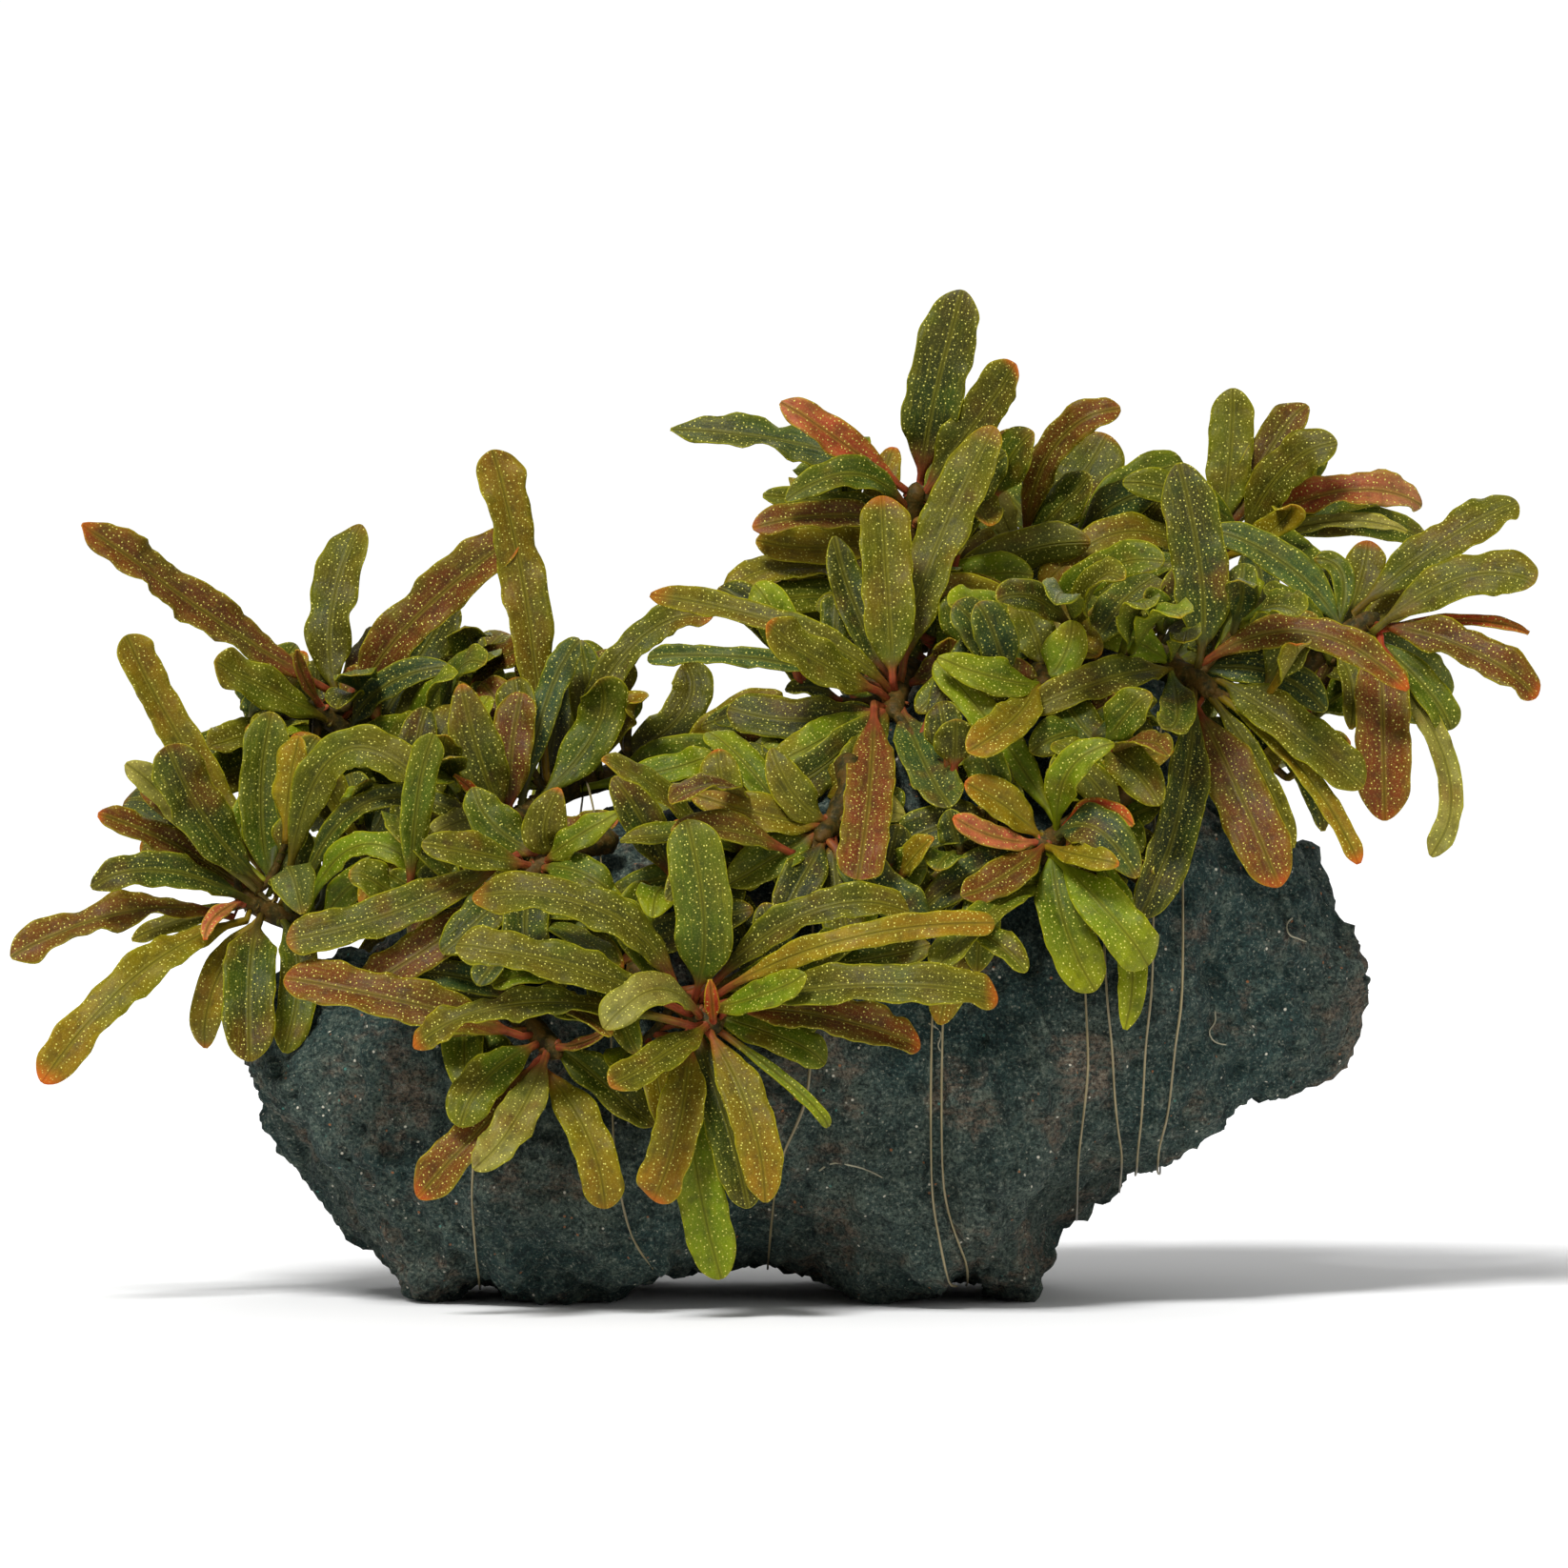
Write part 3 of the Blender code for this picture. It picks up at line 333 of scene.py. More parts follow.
leafColours = {  # stalk, blade and tip
    "green": (tint(92, 90, 14), tint(70, 84, 4), tint(94, 94, 6)),
    "bright": (tint(126, 132, 12), tint(104, 122, 2), tint(134, 138, 4)),
    "olive": (tint(104, 84, 18), tint(80, 76, 4), tint(98, 86, 4)),
    "dark": (tint(82, 64, 20), tint(46, 54, 8), tint(66, 60, 8)),
    "teal": (tint(86, 80, 34), tint(42, 62, 30), tint(68, 72, 26)),
    "brown": (tint(128, 56, 26), tint(98, 52, 14), tint(108, 58, 12)),
    "red": (tint(160, 54, 30), tint(108, 50, 16), tint(116, 54, 14)),
    "ochre": (tint(136, 104, 20), tint(122, 100, 6), tint(138, 98, 10)),
    "pale": (tint(142, 122, 62), tint(138, 130, 54), tint(150, 138, 64)),
    "scarlet": (tint(196, 40, 22), tint(186, 50, 24), tint(202, 82, 38)),
    "blushed": (tint(186, 62, 40), tint(150, 56, 30), tint(176, 120, 78)),
    "pink": (tint(186, 78, 56), tint(176, 86, 56), tint(184, 98, 60)),
}

leafMarks = {
    "dotSpacing": 0.56,  # millimetres, as all the widths here
    "fineSpacing": 0.34,
    "dotShare": 0.7,
    "midrib": 0.12,
    # width of the bright margin, a painted backlit rim
    "paleLine": 0.42,
    "rim": 0.17,
    "gloss": 0.16,
    "bumpMetres": 0.0003,
    "dots": tint(238, 230, 112),
    "pale": tint(150, 142, 30),
    # colour of the painted backlit rim
    "edge": tint(172, 166, 20),
    "blush": tint(200, 78, 20),
    "brown": tint(108, 62, 12),
    "green": tint(62, 86, 8),
    "stain": tint(66, 38, 14),
    "deep": tint(24, 28, 2),
    # the blade's own paler margin tint, with painted light glowing through the thin margins
    "marginTintAndPaintedGlow": tint(150, 150, 8),
    "under": tint(110, 114, 40),
}


def leafSkin():
    board = Board("leafSkin", Specular_IOR_Level=leafMarks["gloss"])
    step = board.step
    tone = board.attribute("leafTone", 0)
    place = board.attribute("leafPlace")  # share of the length, share of the width, distance from the edge
    onLeaf = board.attribute("leafMm")  # along, across, and 1 on the underside
    wear = board.attribute("leafWear", 2)
    blush = board.attribute("leafBlush", 2)
    across = abs(board.part(onLeaf, 1))
    side = abs(board.part(place, 1))
    onBlade = step(board.part(place, 0), 0.1, 0.26)
    under = board.part(onLeaf, 2)
    onLeaf = board.times(onLeaf, (1, 1, 0))

    # soft changes of hue, stains, and streaks along the blade
    broad = board.cloud(onLeaf, 0.16, 2.0)
    mottle = board.cloud(onLeaf, 0.7, 4.0, 0.6)
    streak = board.cloud(board.times(onLeaf, (0.5, 3.4, 1)), 1.0, 2.0)
    stain = step(board.cloud(onLeaf, 0.3, 3.0), 0.6, 0.7) * wear

    # the line along the middle, with paler ones beside it, and the bright edge, which is a painted rim of
    # backlight
    line = step(across, leafMarks["midrib"], 0.03) * onBlade
    beside = step(across, leafMarks["paleLine"], 0.16) * onBlade
    edge = step(board.part(place, 2), leafMarks["rim"], 0.04) * onBlade * step(mottle, 0.34, 0.56)

    # pale dots, with finer and dimmer ones between them
    shown = onBlade * step(across, 0.1, 0.24) * step(mottle, 0.3, 0.46)
    scale = 1 / leafMarks["dotSpacing"]
    few = 1 - leafMarks["dotShare"]
    middle = board.cells(onLeaf, scale, 0, "2D")
    lot = board.part(board.cells(onLeaf, scale, 1, "2D"), 0)
    dots = step(middle, 0.1 + lot * 0.11, 0.06) * step(lot, few, few + 0.1)
    fineDots = step(board.cells(onLeaf, 1 / leafMarks["fineSpacing"], 0, "2D"), 0.24, 0.08)

    skin = board.layers(
        tone,
        (step(broad, 0.5, 0.68) * wear * 0.55, leafMarks["brown"]),
        (step(broad, 0.5, 0.34) * 0.3, leafMarks["green"]),
        (step(mottle, 0.56, 0.3) * 0.4, leafMarks["deep"]),
        (step(streak, 0.5, 0.72) * 0.2, leafMarks["pale"]),
        (under * 0.34, leafMarks["under"]),
        (step(side, 0.55, 0.0) * 0.3, leafMarks["deep"]),
        # brighter towards the margins: the blade's own paler margin, and painted glow of light through it
        (step(side, 0.55, 1.05) * onBlade * 0.17, leafMarks["marginTintAndPaintedGlow"]),
        (beside * 0.22, leafMarks["pale"]),
        (line * 0.3, leafMarks["deep"]),
        (fineDots * shown * 0.12, leafMarks["dots"]),
        (dots * shown * 0.88, leafMarks["dots"]),
        (stain * 0.5, leafMarks["stain"]),
        (blush * (0.35 + mottle * 0.6), leafMarks["blush"]),
        # painted backlit rim along the margins, in the blush's colour where the leaf blushes
        (edge * 0.5, board.mix(blush, leafMarks["edge"], leafMarks["blush"])),
    )
    grain = board.cloud(onLeaf, 2.6, 2.0)
    height = mottle * 0.4 + grain * 0.3 + streak * 0.35 + dots * shown * 0.3 - line * 0.4 + beside * 0.2
    board.shade(Base_Color=skin, Roughness=0.42 + mottle * 0.2)
    board.bump(height, 0.6, leafMarks["bumpMetres"])
    return board.material


def stemSkin():
    board = Board("stemSkin", Roughness=0.6, Specular_IOR_Level=0.15)
    cloud = board.cloud(board.place(), 900.0, 4.0)
    rough = board.cloud(board.place(), 3200.0, 2.0)
    board.shade(Base_Color=board.layers(
        tint(46, 44, 10),
        (board.step(cloud, 0.35, 0.65), tint(84, 60, 18)),
        (board.step(rough, 0.55, 0.7) * 0.3, tint(130, 112, 62)),
        (board.step(cloud, 0.45, 0.3) * 0.7, tint(42, 30, 16)),
    ))
    board.bump(cloud + rough * 0.4, 0.5, 0.0003)
    return board.material


skins = {"leaf": leafSkin(), "stem": stemSkin()}
print("leaf and stem materials done")


rhizomes = {  # the way each one faces, whether it creeps on the rock, and its route
    "front_centre": (-1, True, ((-13, -36.5, 36), (-9, -39, 33), (-5, -42, 30.3))),
    "front_left": (-1, True, ((-27, -33.5, 33), (-24, -36, 30), (-21.5, -38.5, 27.5))),
    "left": (-1, False, ((-37, -8, 42), (-46, -10, 39.5), (-54.5, -12, 42.3))),
    "upper_left": (-1, False, ((-27, 5, 50), (-37, 8, 54), (-47, 6, 61.5))),
    "mid_left": (-1, True, ((-11, 2, 54), (-18, -3, 54), (-27.5, -13, 49.5))),
    "centre": (-1, True, ((15.5, -8, 66), (14.5, -15, 65), (13.8, -21, 62))),
    "top": (-1, False, ((17, 3, 68.5), (15.5, 2, 77), (16.2, 0, 84.5))),
    "right": (-1, True, ((39, -10, 66), (43.5, -13, 66), (46.8, -16, 64.3))),
    "far_right": (-1, False, ((51.5, -6, 60), (57, -7, 66.5), (64, -8, 71.3))),
    "mid_right": (-1, True, ((39, -24, 54), (34, -28, 51.5), (29, -32, 48.5))),
    "upper_right": (-1, False, ((41, 10, 69.5), (46, 12, 74), (49, 10, 80))),
    "back_top": (-1, False, ((26, 15, 73), (27, 15, 76), (27.5, 13, 79))),
    "mid_front": (-1, True, ((-16, -28, 49), (-20, -30, 48), (-24.5, -32, 45.5))),
    "inner_centre": (-1, True, ((10, -28, 54), (8.5, -31, 52), (6, -34, 49))),
    "upper_mid": (-1, True, ((27.5, -13, 69.5), (29, -17.5, 67.5), (29.5, -22, 64.5))),
    "back_left": (1, True, ((-22, 26, 42), (-16, 31, 39), (-9, 34, 36))),
    "back_right": (1, True, ((38, 26, 50), (33, 31, 48), (27, 35, 45))),
}

# the leaves of each stem: seat back from the crown, halfway point, tip, width, colour, wave and roll, where
# the last two are left out if they are 0.3 and 0
largeLeaves = {
    "upper_left": (
        (0, (-59, 2, 71.8), (-71, -3, 81.3), 4.8, "brown", 0.7, 5),
        (1.5, (-45.5, 10, 71), (-42.5, 14, 80.6), 5, "olive", 0.7, -10),
        (3, (-37, 3, 70.5), (-25.5, 0, 79.8), 5.4, "brown", 0.6, 5),
    ),
    "left": (
        (1, (-58.5, -17, 51), (-62, -20, 58.5), 5.8, "dark", 0.4),
        (2.5, (-52.6, -10, 52), (-51.5, -8, 61.5), 4.8, "green", 0.3, 10),
        (0, (-67, -16, 40.8), (-78.5, -18, 36), 4, "brown", 0.8, 15),
        (1.2, (-65, -21, 34.8), (-75.2, -25, 23.5), 4.3, "ochre", 0.7),
        (2.4, (-53.6, -19, 34.5), (-53.5, -22, 25.5), 5.5, "dark"),
        (4, (-45, -17, 57), (-36.3, -19, 55.1), 4.5, "olive", 0.4, 10),
        (3.5, (-60.5, -6, 57.5), (-67, -5, 69.5), 4, "ochre"),
    ),
    "mid_left": (
        (9, (-25, -2, 74), (-28.5, 1, 88.8), 4.8, "ochre", 0.8, 10),
        (11, (-14, -3, 67.8), (-5.3, -4, 71.8), 3.5, "olive", 0.4),
    ),
    "front_centre": (
        (3.2, (-6, -46, 41.5), (-7.8, -46, 52), 6, "green"),
        (4.4, (-16, -47, 42.3), (-30.3, -44, 44.3), 4.8, "olive", 0.4, 10),
        (2.4, (-20, -50, 37), (-31.5, -49, 38.8), 4.5, "olive", 0.4),
        (0.8, (-24, -48, 33), (-36.3, -47, 28.5), 3.4, "olive", 0.7, 10),
        (3, (4.5, -44, 42), (15.5, -43, 42.5), 3.8, "olive", 0.4),
        (1.8, (8, -49, 39.5), (24.2, -47, 41.3), 2.8, "ochre", 0.6, 15),
        (0.6, (11, -51, 35), (24.5, -50, 33.8), 4.6, "olive", 0.4),
        (0, (6, -47, 31.6), (16.5, -46, 28.3), 4.6, "brown", 0.5),
        (1.2, (-8.5, -49, 21), (-11, -48, 12.6), 4.8, "ochre"),
        (2.2, (-7, -46, 17), (-4.3, -44, 4.3), 5, "bright", 0.2),
    ),
    "front_left": (
        (0, (-28, -44, 21), (-36, -45, 12.8), 4.6, "brown", 0.4),
        (1.2, (-18.3, -43, 19.5), (-16.2, -43, 11.3), 4.3, "ochre"),
        (3, (-36, -41, 32.5), (-49.7, -38, 35.1), 5, "brown", 0.4),
    ),
    "centre": (
        (2.6, (13.2, -19, 73.5), (12.5, -16, 84.5), 5.4, "olive", 0.4),
        (4.2, (17.5, -12, 77), (24.5, -8, 91.5), 5.5, "olive", 0.5, -10),
        (1.4, (6, -26, 67.5), (0.3, -29, 71.5), 5, "olive"),
        (0, (11.2, -29, 54.5), (10, -33, 46), 5.1, "red"),
    ),
    "top": (
        (0, (18.3, -1, 95), (21.2, 0, 105.5), 6.2, "dark", 0.4),
        (1.6, (7, 3, 88.5), (-9.7, 6, 90.8), 4.8, "teal", 0.9, 10),
    ),
    "right": (
        (2.4, (46, -14, 76), (43.7, -11, 87.8), 5.9, "dark"),
        (0, (49.5, -22, 54.5), (54, -26, 44), 6, "brown"),
        (1.2, (54.5, -19, 61), (62.7, -21, 54.1), 5, "olive"),
    ),
    "far_right": (
        (1.6, (71, -5, 79), (79.5, -3, 83.3), 4.6, "olive", 0.6),
        (0.6, (73.5, -11, 75.8), (81, -13, 75), 5, "olive", 0.5),
        (0, (65, -14, 62), (65.2, -17, 50.6), 5.8, "red"),
    ),
    "mid_right": ((0, (36, -39, 42), (40.5, -39, 36.3), 5.2, "bright"),),
    "upper_right": ((0, (54.5, 5, 86), (60.2, 2, 89.8), 5, "olive"),),
    "mid_front": ((0.4, (-38, -37, 42), (-49.5, -38, 39.1), 4.6, "olive"),),
    "back_top": ((0, (33, 16, 84.5), (36.5, 19, 89.6), 7.2, "olive", 0.5),),
}

youngLeaves = {
    "upper_left": (
        (2, (-52.6, 1, 63.8), (-57.8, -2, 66.5), 4.8, "olive"),
        (4.5, (-40, 3, 63.6), (-33, 1, 66.3), 3.5, "teal", 0.2),
        (0.5, (-48.4, 4, 65), (-49, 3, 68), 1.6, "pink", 0),
        (7, (-37.5, 10, 64.5), (-32.4, 11, 72.5), 5.4, "dark"),
        (5.5, (-44, 1, 57.8), (-46.5, -1, 55), 2.4, "red", 0.2),
        (9, (-40, 12, 50), (-44, 15, 45), 4.4, "green", 0.2),
    ),
    "left": (
        (3, (-60.5, -15, 51), (-66.5, -17, 56.6), 3.2, "pale"),
        (2.2, (-62, -13, 48), (-69.7, -14, 50.8), 3.2, "brown", 0.4),
        (1.6, (-62.5, -18, 45.3), (-70.3, -20, 43.8), 4, "dark", 0.4),
        (0.8, (-60.5, -14, 40), (-66.3, -15, 37.8), 2.4, "olive", 0.2),
        (0.2, (-57.3, -17, 40.4), (-58.2, -19, 38.1), 1.8, "pink", 0),
        (3, (-57, -20, 34), (-58.5, -22, 26.1), 3.6, "ochre"),
        (4.6, (-48.5, -15, 35), (-50, -17, 26.2), 4, "green", 0.4),
        (5.2, (-49.6, -17, 45.5), (-48, -21, 41), 4.8, "teal", 0.2),
        (6, (-42, -16, 52), (-31.5, -17, 50.8), 2.6, "dark", 0.2),
        (7, (-42, -18, 48), (-34.2, -20, 43.8), 3, "bright"),
        (8, (-44, 2, 47), (-48, 8, 50), 4.4, "green"),
        (4, (-60, 0, 46), (-66, 5, 47), 4.2, "olive"),
    ),
    "mid_left": (
        (1, (-29.6, -14, 57), (-31.5, -12, 64.5), 5.4, "olive"),
        (1.8, (-26.3, -11, 57.5), (-25.2, -9, 63.6), 4.4, "brown"),
        (3.6, (-22.5, -7, 63), (-19, -6, 69), 3.2, "teal"),
        (5.4, (-17.5, -7, 59.5), (-17.3, -8, 65.1), 5, "green"),
        (0.6, (-31, -17, 50.6), (-35, -19, 48.8), 3.4, "pale", 0.2),
        (0.2, (-30, -17, 53.4), (-32.3, -18, 55.1), 1.4, "scarlet", 0),
        (3, (-20.5, -13, 49.5), (-15.2, -15, 50.8), 3, "brown"),
        (12, (-9.5, -6, 55.5), (-5.8, -8, 57), 3.4, "bright", 0.2),
        (7.4, (-15.5, -2, 60), (-12.8, -2, 63), 3.6, "ochre", 0.2),
        (6.6, (-22, 2, 62), (-26, 5, 66), 4.2, "dark"),
        (13, (-9, 6, 60), (-8, 8, 66), 4.4, "olive"),
        (10, (-16, 8, 58), (-20, 14, 58), 4.4, "green"),
    ),
    "front_centre": (
        (1.4, (-11, -51, 34.5), (-16, -54, 30.5), 4.4, "pale", 0.2),
        (0.4, (-10, -48, 28), (-15.7, -50, 24.8), 3.8, "olive", 0.2),
        (0, (-5.2, -45, 33), (-5.4, -46, 35.4), 1.6, "scarlet", 0),
        (0.3, (-4, -46, 26), (-3.8, -47, 22.3), 1.6, "bright", 0),
        (2.6, (1.5, -43, 29.4), (6.8, -44, 26.8), 4, "green", 0.2),
        (3.4, (-3.6, -45, 20.5), (-1.5, -44, 11.8), 5, "dark"),
        (1.6, (3.4, -45, 24), (7.2, -45, 19.6), 1.4, "bright", 0),
        (2, (0.4, -48, 34), (4.6, -50, 36), 3.8, "bright", 0.2),
        (5.4, (4, -41, 37), (8.6, -41, 40.4), 3.8, "green", 0.2),
        (6.4, (8, -40, 36.6), (17.5, -40, 38.6), 4, "green"),
        (1, (-1.4, -49, 22), (0.4, -49, 12.6), 4.6, "ochre"),
        (6.8, (-13, -44, 39.5), (-15, -45, 43.6), 3.8, "green", 0.2),
    ),
    "front_left": (
        (1.8, (-28.6, -42, 25), (-31.2, -44, 20.3), 4.8, "green", 0.2),
        (0.6, (-25.4, -45, 21), (-29.8, -47, 15.8), 4.3, "pale", 0.5),
        (0, (-18.6, -42, 28.6), (-15.8, -43, 30), 1.4, "pink", 0),
        (3.8, (-29, -40, 29.6), (-34, -41, 28.8), 1.8, "brown", 0.2, 40),
        (2.4, (-16.5, -40, 24.3), (-11.6, -40, 19.8), 4, "dark", 0.2),
    ),
    "centre": (
        (0.6, (5, -26, 61.3), (-3.5, -27, 62.3), 5, "dark"),
        (2, (6.4, -25, 59.4), (0.7, -26, 56.5), 4.4, "bright", 0.2),
        (0.2, (7.6, -29, 57.6), (1.5, -31, 53.8), 4.6, "dark", 0.2),
        (0.8, (10, -31, 57.4), (6.5, -34, 54.3), 3.8, "olive", 0.2),
        (3, (4.6, -22, 70.4), (-11.7, -15, 74.1), 3, "olive"),
        (3.6, (0, -22, 67.6), (-11.8, -20, 67.5), 2.2, "teal"),
        (4.8, (10, -15, 72.4), (7.5, -13, 80.1), 4, "dark"),
        (1.6, (16.8, -25, 57.4), (19.6, -29, 52.3), 4.8, "teal"),
        (5.6, (18.6, -15, 66.6), (19.6, -17, 69.4), 3.2, "brown", 0.2),
        (6.4, (8, -3, 68), (3, 0, 72), 4.4, "green"),
    ),
    "top": (
        (1, (22.3, 3, 91.5), (27, 5, 98.1), 4.8, "olive", 0.4),
        (0.4, (8.2, -3, 89.8), (2, -4, 94.1), 3.8, "blushed", 0.4),
        (2.2, (9.6, -4, 86.4), (2.5, -6, 83.5), 3.8, "green"),
        (3, (9.6, 1, 83), (0, 0, 83.8), 2.6, "green", 0.2),
        (4, (8, -4, 82), (-1, -7, 81), 3.4, "brown"),
        (5.2, (7, -2, 78.6), (-0.8, -4, 79.2), 4.4, "ochre"),
        (6.6, (8, 2, 75.6), (0.3, 2, 74.8), 3, "ochre"),
        (3.4, (19, -5, 81.4), (20.6, -8, 78), 4, "pale", 0.2),
        (7.4, (19, 8, 84), (20, 14, 90), 4.6, "olive"),
        (8.6, (11, 9, 80), (6, 15, 83), 4.6, "green"),
    ),
    "right": (
        (0.4, (51.8, -19, 56.4), (55.4, -20, 47.8), 2.4, "olive", 0.2),
        (1.8, (55, -15, 58), (58.8, -16, 49.4), 2.6, "teal", 0.2),
        (0.8, (56, -20, 56.6), (62.3, -22, 46.2), 2.2, "ochre", 0.2),
        (3.2, (56.5, -18, 70.4), (67.4, -20, 64.2), 3.6, "brown", 0.6, 10),
        (3.8, (53, -14, 66), (59, -15, 62), 4, "teal"),
        (4.8, (36.5, -20, 65.6), (26.6, -21, 61.9), 4.2, "olive"),
        (5.6, (38.6, -14, 69.4), (32.5, -13, 70.6), 4.2, "bright", 0.2),
        (4.2, (43.4, -21, 62), (41.6, -24, 60.8), 3.8, "green", 0.2),
        (2.8, (43.5, -26, 52), (39.2, -29, 41), 4.8, "dark", 0.2),
    ),
    "far_right": (
        (2.4, (73, -9, 71.2), (80.4, -11, 70), 1.4, "scarlet", 0),
        (0.3, (73.4, -15, 68.6), (81.4, -18, 63.6), 4.3, "brown", 0.5),
        (3.4, (55.5, -6, 76.6), (46.5, -5, 81), 4, "teal", 0.2),
        (4.2, (61, -4, 75.6), (58.2, -2, 77.2), 2.4, "green", 0.2),
        (1.4, (69.4, -11, 64.4), (72.2, -12, 59.8), 3.4, "green", 0.2),
        (2, (71.5, -13, 57), (70.3, -14, 46.6), 2.6, "pale"),
        (5, (61.8, -12, 64.6), (61.6, -15, 60.3), 2.2, "olive", 0.2),
        (3, (68, -2, 67), (72, 3, 62), 4.4, "green"),
        (6.4, (62, 1, 72), (64, 6, 79), 4.4, "olive"),
    ),
    "mid_right": (
        (1.2, (31.4, -39, 41), (34.5, -41, 33.8), 5.2, "bright"),
        (2.4, (32, -36, 56.6), (36.5, -36, 59.1), 3.8, "bright", 0.2),
        (3.4, (24.4, -27, 60.4), (18.2, -24, 67.6), 3.8, "bright", 0.2),
        (0.6, (25, -34, 53), (21, -35, 55.1), 4.2, "ochre", 0.2),
        (1.8, (34.6, -36, 50.6), (39, -37, 45.5), 5.2, "teal", 0.2),
        (0.2, (33.4, -38, 47.8), (37, -40, 47.3), 2.8, "ochre", 0.1),
        (3, (34.6, -33, 52.6), (38.7, -34, 50.8), 2, "scarlet", 0),
        (0, (24.4, -36, 49.6), (19.8, -38, 51.8), 2.8, "pink", 0.1),
        (0.9, (22.4, -37, 46.2), (16.6, -38, 42.3), 4.3, "teal", 0.2),
        (0.4, (25.4, -38, 45.8), (20.7, -41, 43.4), 4.2, "brown", 0.2),
        (4.2, (38, -33, 40), (37.8, -34, 29.6), 3, "bright", 0.4),
    ),
    "upper_right": (
        (1, (49.4, 12, 87.6), (49.8, 14, 94.8), 4.8, "olive", 0.2),
        (2, (53.4, 12, 88), (57.5, 13, 93.5), 4.2, "brown", 0.4),
        (0.4, (61, 3, 84.2), (69.5, 1, 82.6), 3.8, "blushed", 0.6),
        (2.8, (60, 7, 81), (67.8, 6, 79.7), 1.8, "pale", 0.2),
        (3.6, (54, 5, 80.4), (55.6, 3, 83.2), 3.4, "ochre", 0.2),
        (4.4, (38, 4, 80), (29.6, 3, 74), 4, "ochre"),
        (5.6, (40.8, 2, 76.6), (34, 0, 71.8), 3, "green", 0.2),
        (1.6, (52, 17, 84), (56, 24, 84), 4.6, "olive"),
    ),
    "back_top": (
        (0.8, (31.4, 9, 82.4), (35, 7, 85.6), 4.8, "dark", 0.2),
        (1.4, (25.2, 11, 82), (23.5, 11, 86), 3.2, "pale", 0.2),
        (2.2, (24, 7, 78.6), (20, 5, 74.8), 3.4, "ochre"),
        (1.8, (30.6, 7, 88.6), (37.8, 5, 93.3), 3.8, "brown", 0.4),
        (3, (30, 20, 80), (33, 26, 83), 4.6, "olive"),
        (3.6, (24, 21, 80), (20, 27, 82), 4.6, "green"),
    ),
    "mid_front": (
        (1.6, (-19, -36, 46), (-15, -37, 43.4), 4, "green", 0.2),
        (2.4, (-19.5, -35, 49.5), (-14.8, -35, 52), 3.4, "bright"),
        (1, (-30, -34, 48), (-35.4, -33, 49), 4.2, "olive", 0.2),
        (0.2, (-29, -37, 41.5), (-33, -38, 37.6), 4.6, "dark"),
        (0, (-34, -37, 38.6), (-42, -38, 33.6), 4.6, "brown"),
        (2.8, (-27.8, -31, 50.5), (-30, -30, 54.6), 4.8, "green"),
        (3.6, (-22.6, -33, 50.5), (-21, -33, 54.6), 4.8, "olive"),
        (0.6, (-24.6, -38, 41), (-24, -41, 36.6), 4.8, "dark", 0.2),
        (5, (-17.8, -37, 43.8), (-12.5, -39, 40), 4.6, "green", 0.2),
    ),
    "inner_centre": (
        (0.6, (1, -37, 47.4), (-3.6, -39, 44.6), 4.8, "green", 0.2),
        (1.2, (0, -36, 52), (-7.5, -35, 54.2), 4.4, "ochre"),
        (2, (3.4, -35, 54), (1, -34, 59), 4.4, "olive", 0.2),
        (2.8, (10.6, -35, 52.4), (15, -36, 52), 4.4, "pale", 0.2),
        (0, (12, -38, 44.6), (17.5, -38, 40.4), 4.8, "teal"),
        (0.4, (4, -39, 45), (1.6, -41, 40.6), 4.6, "dark", 0.2),
        (1.6, (8, -39, 43.8), (9, -41, 39), 4.6, "olive", 0.2),
    ),
    "upper_mid": (
        (1.2, (31.6, -21, 68), (32.5, -20, 71.5), 4.6, "bright", 0.2),
        (0.4, (24.6, -26, 65.8), (18.4, -26, 67.8), 4.4, "bright", 0.2),
        (0, (26, -28, 61.5), (21.6, -31, 59), 4.4, "ochre", 0.2),
        (1.6, (33.4, -28, 60.8), (37, -31, 58), 4.4, "green", 0.2),
        (3, (28.6, -19, 70), (26.5, -18, 74.4), 4.4, "olive"),
    ),
    "back_left": (
        (0, (-3, 39, 32), (1, 42, 24), 4.8, "green"),
        (1.5, (-12, 40, 31), (-14, 44, 22), 4.8, "olive"),
        (3, (-2, 38, 42), (5, 42, 46), 4.6, "dark"),
        (4.5, (-10, 40, 45), (-9, 43, 54), 5, "green"),
        (6.5, (-21, 38, 45), (-26, 42, 50), 4.6, "olive"),
        (8.5, (-26, 35, 38), (-34, 37, 36), 4.6, "brown"),
        (5.6, (-21, 36, 32), (-27, 39, 26), 4.6, "green"),
    ),
    "back_right": (
        (0, (21, 41, 42), (15, 45, 37), 4.8, "green"),
        (1.5, (27, 42, 38), (26, 45, 30), 4.8, "olive"),
        (3, (24, 38, 52), (19, 41, 60), 4.8, "bright"),
        (4.5, (33, 37, 57), (34, 40, 66), 4.8, "dark"),
        (6.5, (41, 34, 54), (47, 36, 59), 4.6, "green"),
        (8.5, (43, 33, 46), (48, 36, 40), 4.6, "olive"),
    ),
}


stem = {  # all but the taper is as in the part's own rhizomes
    "radius": 1.5,
    "gap": 0.35,
    "creepRoom": 0.8,  # more room from the rock's skin, for a stem that creeps and for one that rises
    "riseRoom": 0.3,
    "places": 5,
    "taper": 0.75,
}

